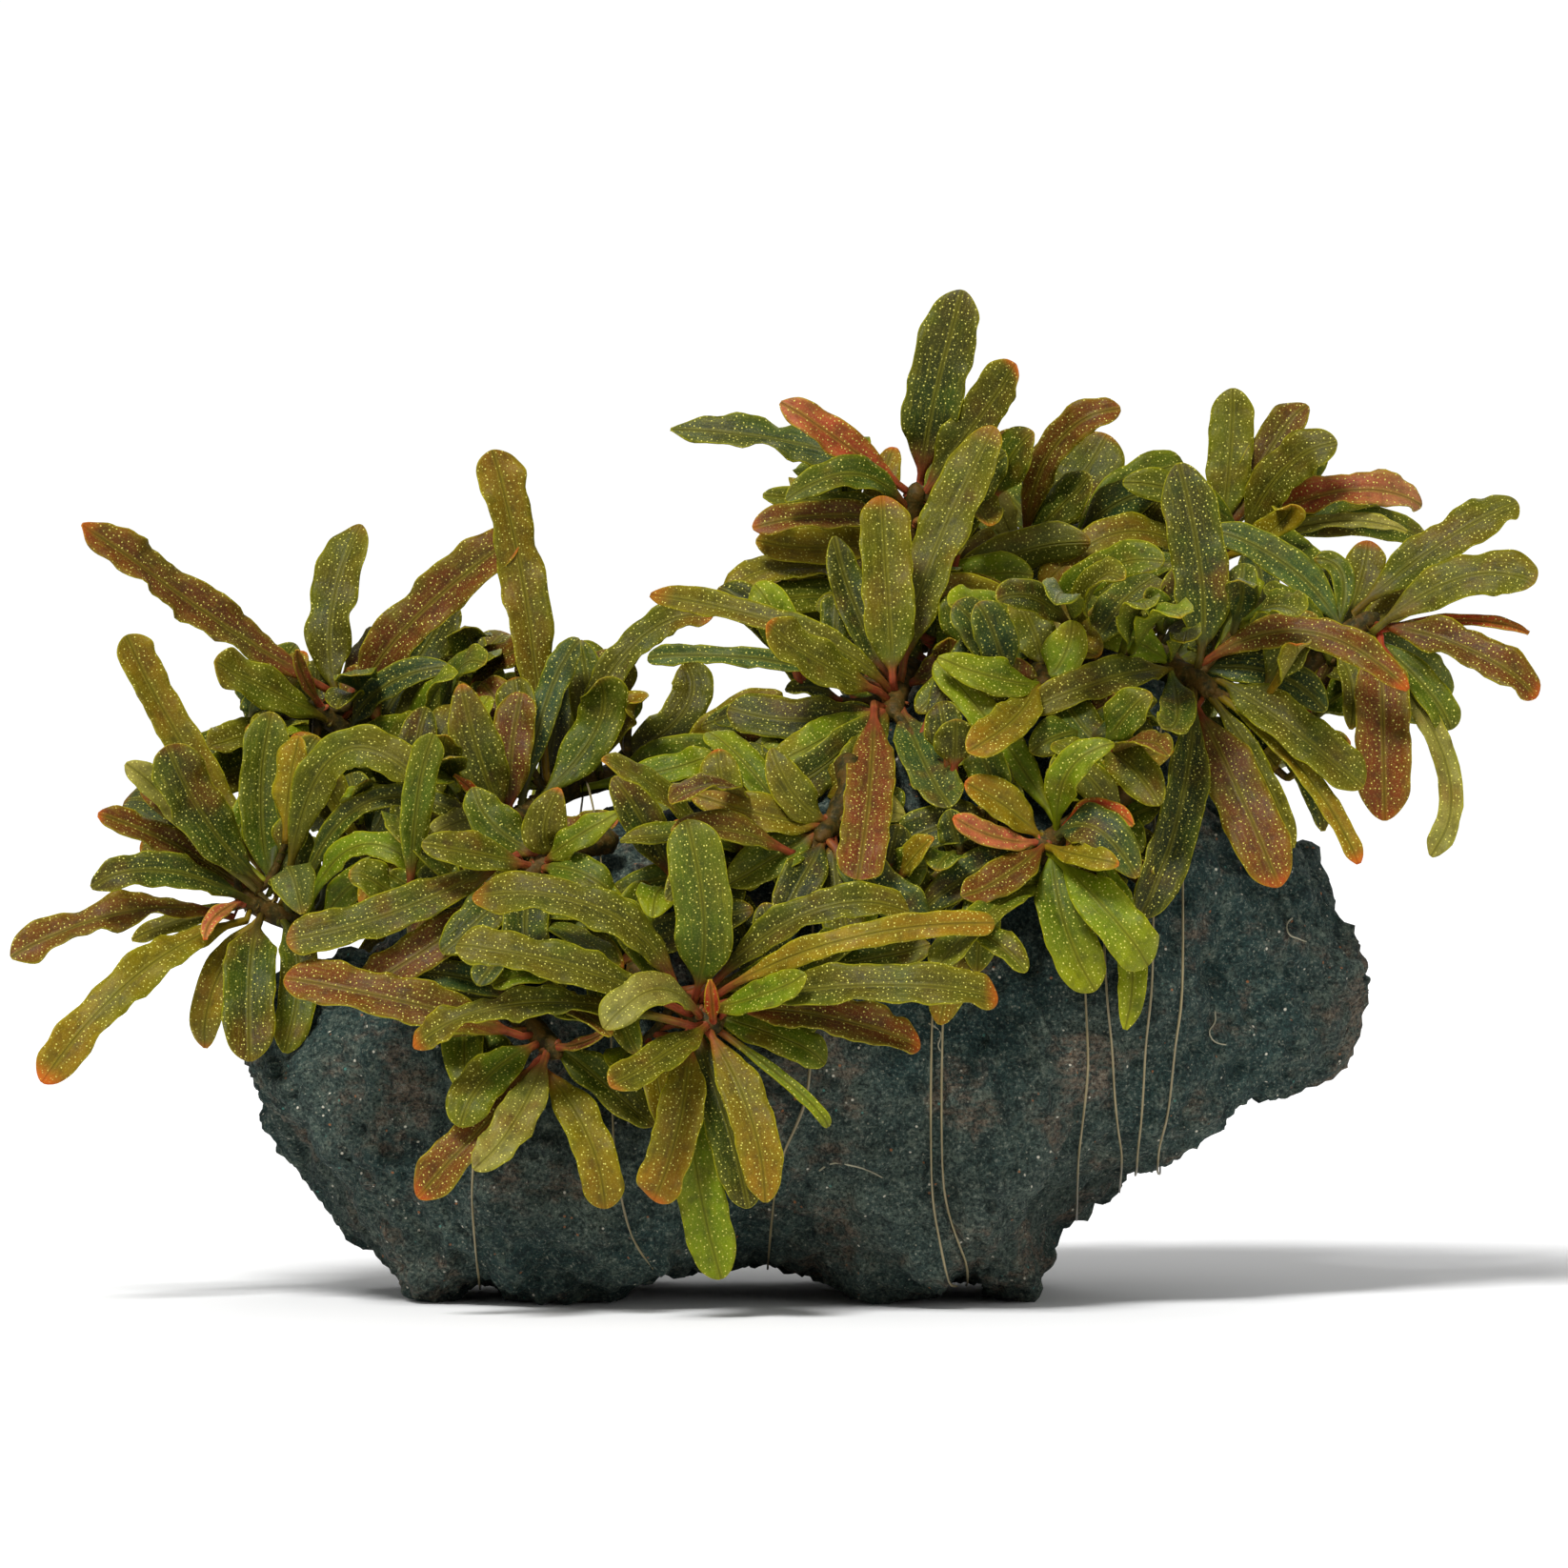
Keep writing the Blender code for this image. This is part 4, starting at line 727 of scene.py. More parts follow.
leafForm = {
    "stalkHalf": 0.42,
    "bladeThick": 0.36,
    "cup": 0.22,
    "waves": 2.6,
    "rootDepth": 1.1,  # how far from the stem's middle line the stalk starts
    "scallop": 0.04,
    "bluntness": 0.58,
    "finest": 0.1,  # half the breadth of the very tip
    "foot": (0.02, 0.4),  # the shares of the length between which the blade widens
    "bladeFrom": (0.08, 0.26),  # and between which the stalk's form turns into the blade's
    "stalkThins": 1.6,  # 1 more than the share of the length where the stalk starts to thin
    "thinEdge": 0.6,
    "rowBias": 1.35,  # above 1 for rows that lie closer towards the tip
    "lastRow": 0.9994,
    "grids": {"large": (46, 10), "young": (30, 8), "side": (20, 6)},  # rows along and columns across
}

placing = {  # how the part's own leaves are made, and the order in which it tries free places for each
    "rolls": (0, 25, -25, 50, -50),
    "slides": (0, 0.9, 1.8, -0.9, 2.7, 3.6),
    "bends": (0, -1.5, 1.5, -3, 3, -4.5, 4.5, -6, 6, -7.5, 7.5, -9, 9, -11, 11, -13, 13),
    "largeRings": (0, 0.17, 0.42, 0.68, 0.93),
    "youngRings": (0, 0.42, 0.88),
    "largeFoot": 0.85,  # off the stem's skin
    "youngFoot": 0.5,  # off the stem's middle line
    "thick": 0.25,  # half the blade's thickness, from this share of its length on
    "thickFrom": 0.3,
    "wavesFrom": 0.1,
    "upShare": (0.87, 0.5),  # how much a leaf's upper face looks to the front and up
    "nearEnough": 0.05,
}


def cornerTree(name):
    # the corners of the part's node, in the drawing's millimetres
    points = pointsOf(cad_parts[name].data) / mm + np.array(drawingOrigin)
    tree = KDTree(len(points))
    for index, point in enumerate(points):
        tree.insert(point, index)
    tree.balance()
    return tree


def offRock(point, distance):
    # the point, or one near it that is this far off the rock's skin, also for a point inside the rock
    for _ in range(4):
        place, normal, _, _ = rockTree.find_nearest(point)
        away = point - place
        inside = away.dot(normal) < -0.7 * away.length or away.length < 1e-6
        away = normal if inside else away.normalized()
        if away.dot(point - place) >= distance:
            return point
        point = place + away * distance
    return point


def curveAt(start, middle, end, t):
    pull = 2 * middle - (start + end) / 2
    point = (1 - t) ** 2 * start + 2 * t * (1 - t) * pull + t * t * end
    return point, (2 * (1 - t) * (pull - start) + 2 * t * (end - pull)).normalized()


def stemLine(name):
    _, creeping, route = rhizomes[name]
    start, middle, end = (Vector(point) for point in route)
    reach = stem["radius"] + stem["gap"] + stem["creepRoom" if creeping else "riseRoom"]
    last = stem["places"] - 1
    return [offRock(curveAt(start, middle, end, i / last)[0], reach) for i in range(last + 1)]


def seatOn(line, back):
    # the point of the stem's middle line this far back from its crown, and its direction
    left = back
    for index in range(len(line) - 1, 0, -1):
        step = line[index - 1] - line[index]
        if left <= step.length or index == 1:
            return line[index] + step.normalized() * min(left, step.length), -step.normalized()
        left -= step.length


def sideAt(along, facing, roll, before):
    front, up = placing["upShare"]
    side = along.cross(Vector((0, front * facing, up)))
    if side.length < 0.15:
        side = Vector((1, 0, 0))
    side = Quaternion(along, math.radians(roll)) @ side.normalized()
    return -side if before and side.dot(before) < 0 else side


def cadHalf(t, width):
    blade = width / 2 * math.sin(math.pi * t ** 1.3) ** 0.62
    return max(leafForm["stalkHalf"] * min(1, leafForm["stalkThins"] - t), blade)


def missOf(shape, wave, corners, young):
    # how far the part's corners are, at most, from where a leaf of this shape has them
    base, middle, tip, width, roll, facing = shape
    stalk = leafForm["stalkHalf"]
    miss = 0
    side = None
    for t in placing["youngRings" if young else "largeRings"]:
        centre, along = curveAt(base, middle, tip, t)
        side = sideAt(along, facing, roll, side)
        if t > 0 or not young:
            normal = side.cross(along).normalized()
            thick = stalk + (placing["thick"] - stalk) * min(1, t / placing["thickFrom"])
            miss = max(miss, corners.find(centre + normal * thick)[2])
            half = cadHalf(t, width)
            if t > placing["wavesFrom"] and half > stalk:
                rise = wave * math.sin(2 * math.pi * leafForm["waves"] * t)
                rise = half / (width / 2) * (leafForm["cup"] * half + rise)
                miss = max(miss, corners.find(centre - side * half + normal * rise)[2])
    return miss


def findPlace(name, corners, young, seat, middle, tip, width, wave, roll):
    # the tried bend, roll and slide that the part's leaf has, as its shape and where its stalk starts
    foot = placing["youngFoot"] if young else stem["radius"] + placing["largeFoot"]
    found = []
    for bend in placing["bends"]:
        tipPoint = Vector(tip) + Vector((0, bend, 0))
        if corners.find(tipPoint)[2] > placing["nearEnough"]:
            continue
        middlePoint = Vector(middle) + Vector((0, bend / 2, 0))
        for turn in placing["rolls"]:
            for slide in placing["slides"]:
                centre, along = seatOn(stemLines[name], max(0, seat + slide))
                out = middlePoint - centre
                out = (out - along * out.dot(along)).normalized()
                shape = (centre + out * foot, middlePoint, tipPoint, width, roll + turn, rhizomes[name][0])
                root = centre + out * leafForm["rootDepth"]
                found.append((missOf(shape, wave, corners, young), shape, root))
    return min(found, key=lambda tried: tried[0])[1:]


rockTree = surfaceOf([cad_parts["lava_rock"]], inDrawing)
stemLines = {name: stemLine(name) for name in rhizomes}


rock = {
    "rough": ((5.0, 0.7), (2.4, 0.9), (1.3, 0.5)),  # size and height of the lumps, knobs and grit
    "pore": (2.9, 0.7),  # size and depth
    "smallPore": (1.4, 0.4),
    "smallPoresAt": Vector((40, 7, 3)),  # so that they lie elsewhere than the others
    "poreShare": 0.85,
    "poreRim": 0.42,
    "warp": (2.5, 0.7),
    "levels": 3,
    "smoothing": 5,
    "kept": 0.86,  # the share of its faces that stay, so that the piece has fewer than 200,000 triangles
    "lineClear": 0.35,
    "flatBelow": 0.35,
    "crumbs": 1500.0,  # cells to the metre, of the larger grains and of the finest ones
    "specks": 2600.0,
}

thread = {"levels": 2, "grow": 0.02, "bumpMetres": 0.0001}

fibre = {
    "radius": 0.1,
    "taper": 0.7,
    "inFront": 0.05,
    "routes": (  # x and z of the places where each pale fibre lies on the rock's front
        ((55.5, 40.3), (55.0, 39.0), (56.2, 38.2), (57, 37.8)),
        ((47, 32.3), (47.4, 30), (46.8, 28.4), (48.5, 27.3)),
        ((6, 14.8), (7.6, 15.7), (9, 15.5), (11, 14.9), (12.5, 14.1)),
        ((-32, 20), (-31, 19.2), (-31.4, 18.2)),
        ((17.4, 30.2), (18.6, 29.2), (18.4, 27.6), (19.6, 26.6)),
    ),
}


def ownCopy(node, name):
    # an own mesh like the node's, with its loose triangles joined
    obj = addObject(name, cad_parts[node].data.copy())
    closeSkin(obj)
    return obj


def finer(obj, levels, way):
    shapeWith(obj, "SUBSURF", subdivision_type=way, levels=levels, render_levels=levels)


def poreDepth(place, size):
    # how deep a pore is here: round hollows with a sharp rim, in most of the places
    distances, places = noise.voronoi(place / size)
    if noise.cell(places[0] * 3.7) < 1 - rock["poreShare"]:
        return 0
    return max(0, 1 - (distances[0] / rock["poreRim"]) ** 2)


def roughHeight(place):
    height = 0
    for size, tall in rock["rough"]:
        height += noise.fractal(place / size, 1.0, 2.0, 2) * tall
    size, strength = rock["warp"]
    warped = place + noise.noise_vector(place / size) * strength
    height -= poreDepth(warped, rock["pore"][0]) * rock["pore"][1]
    height -= poreDepth(warped + rock["smallPoresAt"], rock["smallPore"][0]) * rock["smallPore"][1]
    return height


def buildRock():
    obj = ownCopy("lava_rock", "lavaLump")
    finer(obj, rock["levels"], "SIMPLE")
    shapeWith(obj, "SMOOTH", iterations=rock["smoothing"])
    near = [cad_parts[node] for node in ["tie_line"] + ["rhizome_" + name for name in rhizomes]]
    trees = [surfaceOf([node], inDrawing) for node in near]
    normals = [vertex.normal.copy() for vertex in obj.data.vertices]
    for vertex, normal in zip(obj.data.vertices, normals):
        place = inDrawing(vertex.co)
        height = 0
        if place.z >= rock["flatBelow"]:
            room = min(tree.find_nearest(place)[3] for tree in trees)
            height = min(roughHeight(place), max(0, room - rock["lineClear"]))
        moved = place + normal * height
        moved.z = max(moved.z, 0)
        vertex.co = atOrigin(moved)
    shapeWith(obj, "DECIMATE", ratio=rock["kept"])
    cover(obj, lavaSkin())
    keepPiece(obj, "lava", ["lava_rock"])
    return obj


def lavaSkin():
    board = Board("lavaSkin", Specular_IOR_Level=0.25)
    step = board.step
    place = board.place()
    broad = board.cloud(place, 55.0, 5.0, 0.6)
    patch = board.cloud(place, 110.0, 6.0, 0.65)
    blotch = board.cloud(place, 420.0, 5.0, 0.65)
    streak = board.cloud(board.times(place, (1.0, 1.0, 2.4)), 700.0, 6.0, 0.75)
    grit = board.cloud(place, 2500.0, 4.0, 0.75)
    crumb = step(board.cells(place, rock["crumbs"]), 0.3, 0.16)
    chosen = board.part(board.cells(place, rock["crumbs"], 1), 0)
    speck = step(board.cells(place, rock["specks"]), 0.34, 0.2)
    lot = board.part(board.cells(place, rock["specks"], 1), 0)
    stone = board.layers(
        tint(40, 64, 60),
        (step(broad, 0.38, 0.62), tint(66, 79, 71)),
        (step(blotch, 0.5, 0.66) * 0.6, tint(96, 108, 94)),
        (step(blotch, 0.48, 0.34) * 0.7, tint(26, 42, 40)),
        (step(patch, 0.52, 0.64) * step(streak, 0.36, 0.62) * 0.7, tint(124, 98, 78)),
        (step(streak, 0.52, 0.7) * 0.4, tint(132, 136, 118)),
        (step(grit, 0.51, 0.4) * 0.78, tint(12, 22, 22)),
        (step(grit, 0.55, 0.66) * 0.55, tint(146, 152, 136)),
        (speck * step(lot, 0.95, 0.96) * 0.6, tint(170, 168, 146)),
        (crumb * step(chosen, 0.962, 0.968), tint(216, 210, 190)),
        (crumb * step(chosen, 0.024, 0.016), tint(160, 104, 66)),
        (crumb * step(abs(chosen - 0.5), 0.006, 0.003) * 0.8, tint(86, 150, 136)),
    )
    board.shade(Base_Color=stone, Roughness=0.72 + grit * 0.25)
    board.bump(grit * 0.6 + streak * 0.6 + blotch * 0.8, 0.9, 0.0008)
    return board.material


def threadSkin(name, scale, dark, pale, **constants):
    board = Board(name, **constants)
    cloud = board.cloud(board.place(), scale, 2.0)
    board.shade(Base_Color=board.mix(cloud, dark, pale))
    return board, cloud


def buildLine():
    obj = ownCopy("tie_line", "tieLine")
    finer(obj, thread["levels"], "CATMULL_CLARK")
    pushOut(obj.data, lambda place: thread["grow"])
    board, cloud = threadSkin("lineSkin", 260.0, tint(98, 86, 54), tint(158, 144, 104),
                              Roughness=0.28, Specular_IOR_Level=0.6)
    board.bump(cloud, 0.2, thread["bumpMetres"])
    cover(obj, board.material)
    keepPiece(obj, "thread", ["tie_line"])


def buildFibres():
    surface = surfaceOf([lavaLump])
    pieces = []
    for number, route in enumerate(fibre["routes"]):
        hits = [surface.ray_cast(atOrigin((x, -100, z)), Vector((0, 1, 0)))[0] for x, z in route]
        places = [inDrawing(hit) - Vector((0, fibre["inFront"], 0)) for hit in hits]
        pieces.append(tubeAlong("fibre_" + str(number), places, fibre["radius"], fibre["taper"], 0))
    obj = joinPieces("paleFibres", pieces)
    board, _ = threadSkin("fibreSkin", 500.0, tint(118, 114, 92), tint(176, 170, 142), Roughness=0.5)
    cover(obj, board.material)
    keepPiece(obj, "thread", [])


lavaLump = buildRock()
buildLine()
print("rock and line done")


leafLooks = {
    "redStalked": ("front_centre", "front_left", "centre", "top", "inner_centre", "mid_front"),
    "redStalk": tint(150, 66, 40),
    "warm": ("brown", "red", "ochre", "olive", "pink"),
    "toneSpread": 0.2,
    "brightness": (0.66, 1.22),
    "twist": 16.0,  # degrees between the foot and the tip, at most
    "curl": 0.8,
    "crinkle": 0.3,
    "groove": (0.12, 0.35),  # depth and half its width
    "rib": (0.14, 0.4),  # the same of the rib below
    "points": (0.6, 2.0),  # widths over which the ends taper, from the bluntest to the sharpest
    "bluntPoints": (0.5, 0.85),
    "longestPoint": 0.55,  # the share of the length that an end takes, at most
    "spearBelow": 2.0,  # leaves narrower than this, just unrolled ones, have ends this many widths long
    "spearPoint": 3.5,
    "beats": (0.2, 0.04),  # small waves to the millimetre, and how much that varies
    "otherMargin": 2.1,  # how far one margin's waves are behind the other's
    "near": 5,  # the first so many colours, which a blade's own is mixed with a little
    "toTip": (0.45, 1.0),  # the shares of the length between which the blade takes its tip's colour
    "warmEnd": (0.93, 1.0),
    "warmEdge": (0.7, 1.0, 0.14),
    "sharp": ("blade_front_centre_10", "blade_front_centre_4", "blade_left_3", "blade_top_2",
              "blade_upper_left_1"),
}

dice = np.random.default_rng(7)


def leafBlank(rows, columns):
    # a flat strip which every leaf is shaped from: long way x, across y, thickness z
    pickOnly()
    bpy.ops.mesh.primitive_grid_add(x_subdivisions=rows, y_subdivisions=columns, size=2)
    strip = bpy.context.active_object
    shapeWith(strip, "SOLIDIFY", thickness=1, offset=0)
    cover(strip, skins["leaf"])
    mesh = strip.data
    bpy.data.objects.remove(strip)
    points = pointsOf(mesh)
    xs = np.unique(np.round(points[:, 0], 5))
    return {
        "mesh": mesh,
        "row": np.searchsorted(xs, np.round(points[:, 0], 5)),
        "rows": len(xs),
        "across": -points[:, 1],
        "face": np.sign(points[:, 2]),
    }


def eased(value, low, high):
    share = np.clip((value - low) / (high - low), 0, 1)
    return share * share * (3 - 2 * share)


def stepsOf(points):
    return np.linalg.norm(np.diff(points, axis=0), axis=1)


def stalkHalf(t):
    return leafForm["stalkHalf"] * np.minimum(1, leafForm["stalkThins"] - t)


def bladeHalf(t, width, length, point=1.2):
    # a narrow foot, an even strap and an end that tapers over this many widths
    foot = eased(t, *leafForm["foot"]) ** 0.7
    end = np.clip((1 - t) * length / (width * point), 0, 1)
    blade = width / 2 * foot * (1 - (1 - end) ** 2) ** leafForm["bluntness"]
    return np.maximum(np.maximum(stalkHalf(t), blade), leafForm["finest"])


def spineOf(shape, root, rows, twist):
    # shares, centres, sides and normals of every row, from the stem to the tip
    base, middle, tip, _, roll, facing = shape
    ring = np.clip((np.arange(rows) - 1) / (rows - 2), 0, 1)
    ts = 1 - (1 - ring) ** leafForm["rowBias"]
    ts[-1] = leafForm["lastRow"]
    places = [curveAt(base, middle, tip, float(t)) for t in ts]
    centres = np.array([tuple(root)] + [tuple(point) for point, _ in places[1:]])
    keyTs = placing["largeRings"]
    keySides = [None]
    for t in keyTs:
        keySides.append(sideAt(curveAt(base, middle, tip, t)[1], facing, roll, keySides[-1]))
    mixed = np.stack([np.interp(ts, keyTs, [key[axis] for key in keySides[1:]]) for axis in range(3)], 1)
    sides = []
    normals = []
    for t, (_, along), side in zip(ts, places, mixed):
        side = Vector(side) - along * along.dot(Vector(side))
        side = Quaternion(along, math.radians(twist) * (t - 0.4)) @ side.normalized()
        sides.append(tuple(side))
        normals.append(tuple(side.cross(along).normalized()))
    return ts, centres, np.array(sides), np.array(normals)


def growLeaf(blank, name, shape, root, wave, word, redStalk):
    width = shape[3]
    wild = dice.uniform(-1, 1, 12)
    ts, centres, sides, normals = spineOf(shape, root, blank["rows"], wild[0] * leafLooks["twist"])
    length = float(np.sum(stepsOf(centres)))
    row = blank["row"]
    t = ts[row]
    s = blank["across"]
    face = blank["face"]
    edge = np.abs(s)
    blunt = name.startswith("blade") and name not in leafLooks["sharp"]
    low, high = leafLooks["bluntPoints" if blunt else "points"]
    point = low + (high - low) * (0.5 + 0.5 * wild[7]) ** 1.4
    if width < leafLooks["spearBelow"]:
        point = leafLooks["spearPoint"]
    half = bladeHalf(t, width, length, min(point, leafLooks["longestPoint"] * length / width))
    onBlade = eased(t, *leafForm["bladeFrom"])

    # the outline's small scallops differ on the two margins
    margin = np.where(s > 0, 0.0, leafLooks["otherMargin"])
    turn = 2 * np.pi
    often, change = leafLooks["beats"]
    beat = turn * (length * (often + change * wild[1]))
    scallop = np.sin(beat * t + margin * 2 + wild[2] * 3) + 0.6 * np.sin(beat * 1.7 * t + wild[3] * 3)
    reach = half * (1 + leafForm["scallop"] * (0.4 + wave) * scallop * onBlade * edge)

    # the blade is hollowed along its middle and its margins wave
    spread = half / (width / 2) * onBlade
    waves = np.sin(turn * leafForm["waves"] * t + margin)
    ripple = np.sin(beat * t + margin * 1.7 + wild[4] * 3) + 0.5 * np.sin(beat * 1.9 * t + wild[5] * 3)
    rise = spread * edge ** 1.3 * (leafForm["cup"] * (1 + 0.8 * wild[8]) * half + wave * waves)
    rise += spread * edge ** 2.2 * leafLooks["crinkle"] * (0.35 + wave) * ripple
    deep, wide = leafLooks["groove"]
    rise -= deep * onBlade * np.exp(-(s * half / wide) ** 2)
    rise += leafLooks["curl"] * wild[6] * eased(t, 0.7, 1.0) ** 2

    # a round stalk, and a blade that thins to its margins and has a rib below
    roundness = np.sqrt(np.clip(1 - s * s, 0.02, 1))
    stalkThick = leafForm["stalkHalf"] * roundness * np.minimum(1, leafForm["stalkThins"] - t)
    deep, wide = leafLooks["rib"]
    bladeThick = leafForm["bladeThick"] / 2 * (1 - leafForm["thinEdge"] * edge ** 2)
    bladeThick = bladeThick + np.where(face < 0, deep * np.exp(-(s * half / wide) ** 2), 0) * (1 - t)
    thick = stalkThick + (bladeThick - stalkThick) * onBlade
    thick *= 1 - 0.5 * eased(t, 0.9, 1.0)

    points = centres[row] + sides[row] * (s * reach)[:, None]
    points += normals[row] * (rise + face * thick)[:, None]
    points = (points - np.array(drawingOrigin)) * mm
    leaf = addObject(name, blank["mesh"].copy())
    leaf.data.name = name
    leaf.data.vertices.foreach_set("co", points.ravel())
    along = np.concatenate([[0], np.cumsum(stepsOf(centres))])[row]
    paintLeaf(leaf.data, word, redStalk, t, s, reach, along, length, np.where(face < 0, 1.0, 0.0))
    leaf.data.update()
    return leaf


def paintLeaf(mesh, word, redStalk, t, s, reach, along, length, under):
    stalk, blade, tip = (np.array(colour) for colour in leafColours[word])
    if redStalk:
        stalk = np.array(leafLooks["redStalk"])
    near = list(leafColours)[int(dice.integers(0, leafLooks["near"]))]
    blade = blade + (np.array(leafColours[near][1]) - blade) * dice.uniform(0, leafLooks["toneSpread"])
    blade = blade * dice.uniform(*leafLooks["brightness"])
    count = len(t)
    toTip = eased(t, *leafLooks["toTip"])[:, None] * dice.uniform(0.2, 1.0)
    toBlade = eased(t, 0.02, 0.14 + dice.uniform(0, 0.12))[:, None]
    colour = stalk + (blade - stalk) * toBlade
    colour = colour + (tip - colour) * toTip
    warm = dice.uniform(0, 1) ** 2 if word in leafLooks["warm"] else 0.25 * dice.uniform(0, 1) ** 3
    wear = dice.uniform(0.1, 1.0)
    seed = float(dice.uniform(0, 900))
    # distance from the margin, which places the painted backlit rim
    rim = np.minimum(reach * (1 - np.abs(s)), (1 - t) * length * 0.8 + 0.02)
    start, end, share = leafLooks["warmEdge"]
    tipped = warm * (eased(t, *leafLooks["warmEnd"]) + share * eased(t, start, end) * np.abs(s) ** 2)
    values = {
        "leafTone": ("FLOAT_COLOR", "color", np.column_stack([colour, np.ones(count)])),
        "leafPlace": ("FLOAT_VECTOR", "vector", np.column_stack([t, s, rim])),
        "leafMm": ("FLOAT_VECTOR", "vector", np.column_stack([along + seed, s * reach, under])),
        "leafBlush": ("FLOAT", "value", tipped),
        "leafWear": ("FLOAT", "value", np.full(count, wear)),
    }
    for name, (kind, field, numbers) in values.items():
        mesh.attributes.new(name, kind, "POINT").data.foreach_set(field, numbers.astype(np.float32).ravel())


def dressLeaf(name, label, size, corners, seat, middle, tip, width, word, wave=0.3, roll=0):
    # one of the part's own leaves, grown where the part has it
    found = findPlace(name, corners, size == "young", seat, middle, tip, width, wave, roll)
    return growLeaf(blanks[size], label, *found, wave, word, name in leafLooks["redStalked"])


def buildLargeLeaves():
    made = []
    for name, rows in largeLeaves.items():
        for number, row in enumerate(rows, 1):
            node = f"leaf_{name}_{number}"
            made.append(dressLeaf(name, f"blade_{name}_{number}", "large", cornerTree(node), *row))
            keepPiece(made[-1], row[4], [node])
    return made


tube = {
    "steps": 6,
    "roundness": 3,
    "caps": (0.7, 0.6),  # how far the round ends reach past the first and last place, in radii
    "capRadius": 0.35,
    "lumps": ((1.3, 0.16), (3.1, 0.07)),  # how many to the millimetre, and how high
}


def lumpHeight(place):
    return sum(noise.noise(place * often) * high for often, high in tube["lumps"])


def tubeAlong(name, places, radius, taper, lumps=1.0):
    # a smooth tapering stem through these places, with round ends and a lumpy skin
    curve = bpy.data.curves.new(name, "CURVE")
    curve.dimensions = "3D"
    curve.resolution_u = tube["steps"]
    curve.bevel_depth = 1
    curve.bevel_resolution = tube["roundness"]
    curve.use_fill_caps = True
    before, after = tube["caps"]
    first = places[0] + (places[0] - places[1]).normalized() * radius * before
    last = places[-1] + (places[-1] - places[-2]).normalized() * radius * after
    knots = [first, *places, last]
    spline = curve.splines.new("BEZIER")
    spline.bezier_points.add(len(knots) - 1)
    for index, (place, knot) in enumerate(zip(knots, spline.bezier_points)):
        knot.co = atOrigin(place)
        knot.handle_left_type = knot.handle_right_type = "AUTO"
        share = (index - 1) / (len(knots) - 3)
        size = tube["capRadius"] if index in (0, len(knots) - 1) else 1
        knot.radius = radius * (1 + (taper - 1) * share) * size * mm
    pickOnly(addObject(name, curve))
    bpy.ops.object.convert(target="MESH")
    obj = bpy.context.active_object
    closeSkin(obj)
    pushOut(obj.data, lambda place: lumpHeight(place) * lumps)
    cover(obj, skins["stem"])
    return obj


def buildPlant(name):
    # the stem with its young leaves, as one piece
    pieces = [tubeAlong("stem_" + name, stemLines[name], stem["radius"], stem["taper"])]
    corners = cornerTree("rhizome_" + name)
    for number, row in enumerate(youngLeaves[name], 1):
        pieces.append(dressLeaf(name, f"young_{name}_{number}", "young", corners, *row))
    return joinPieces("plant_" + name, pieces)


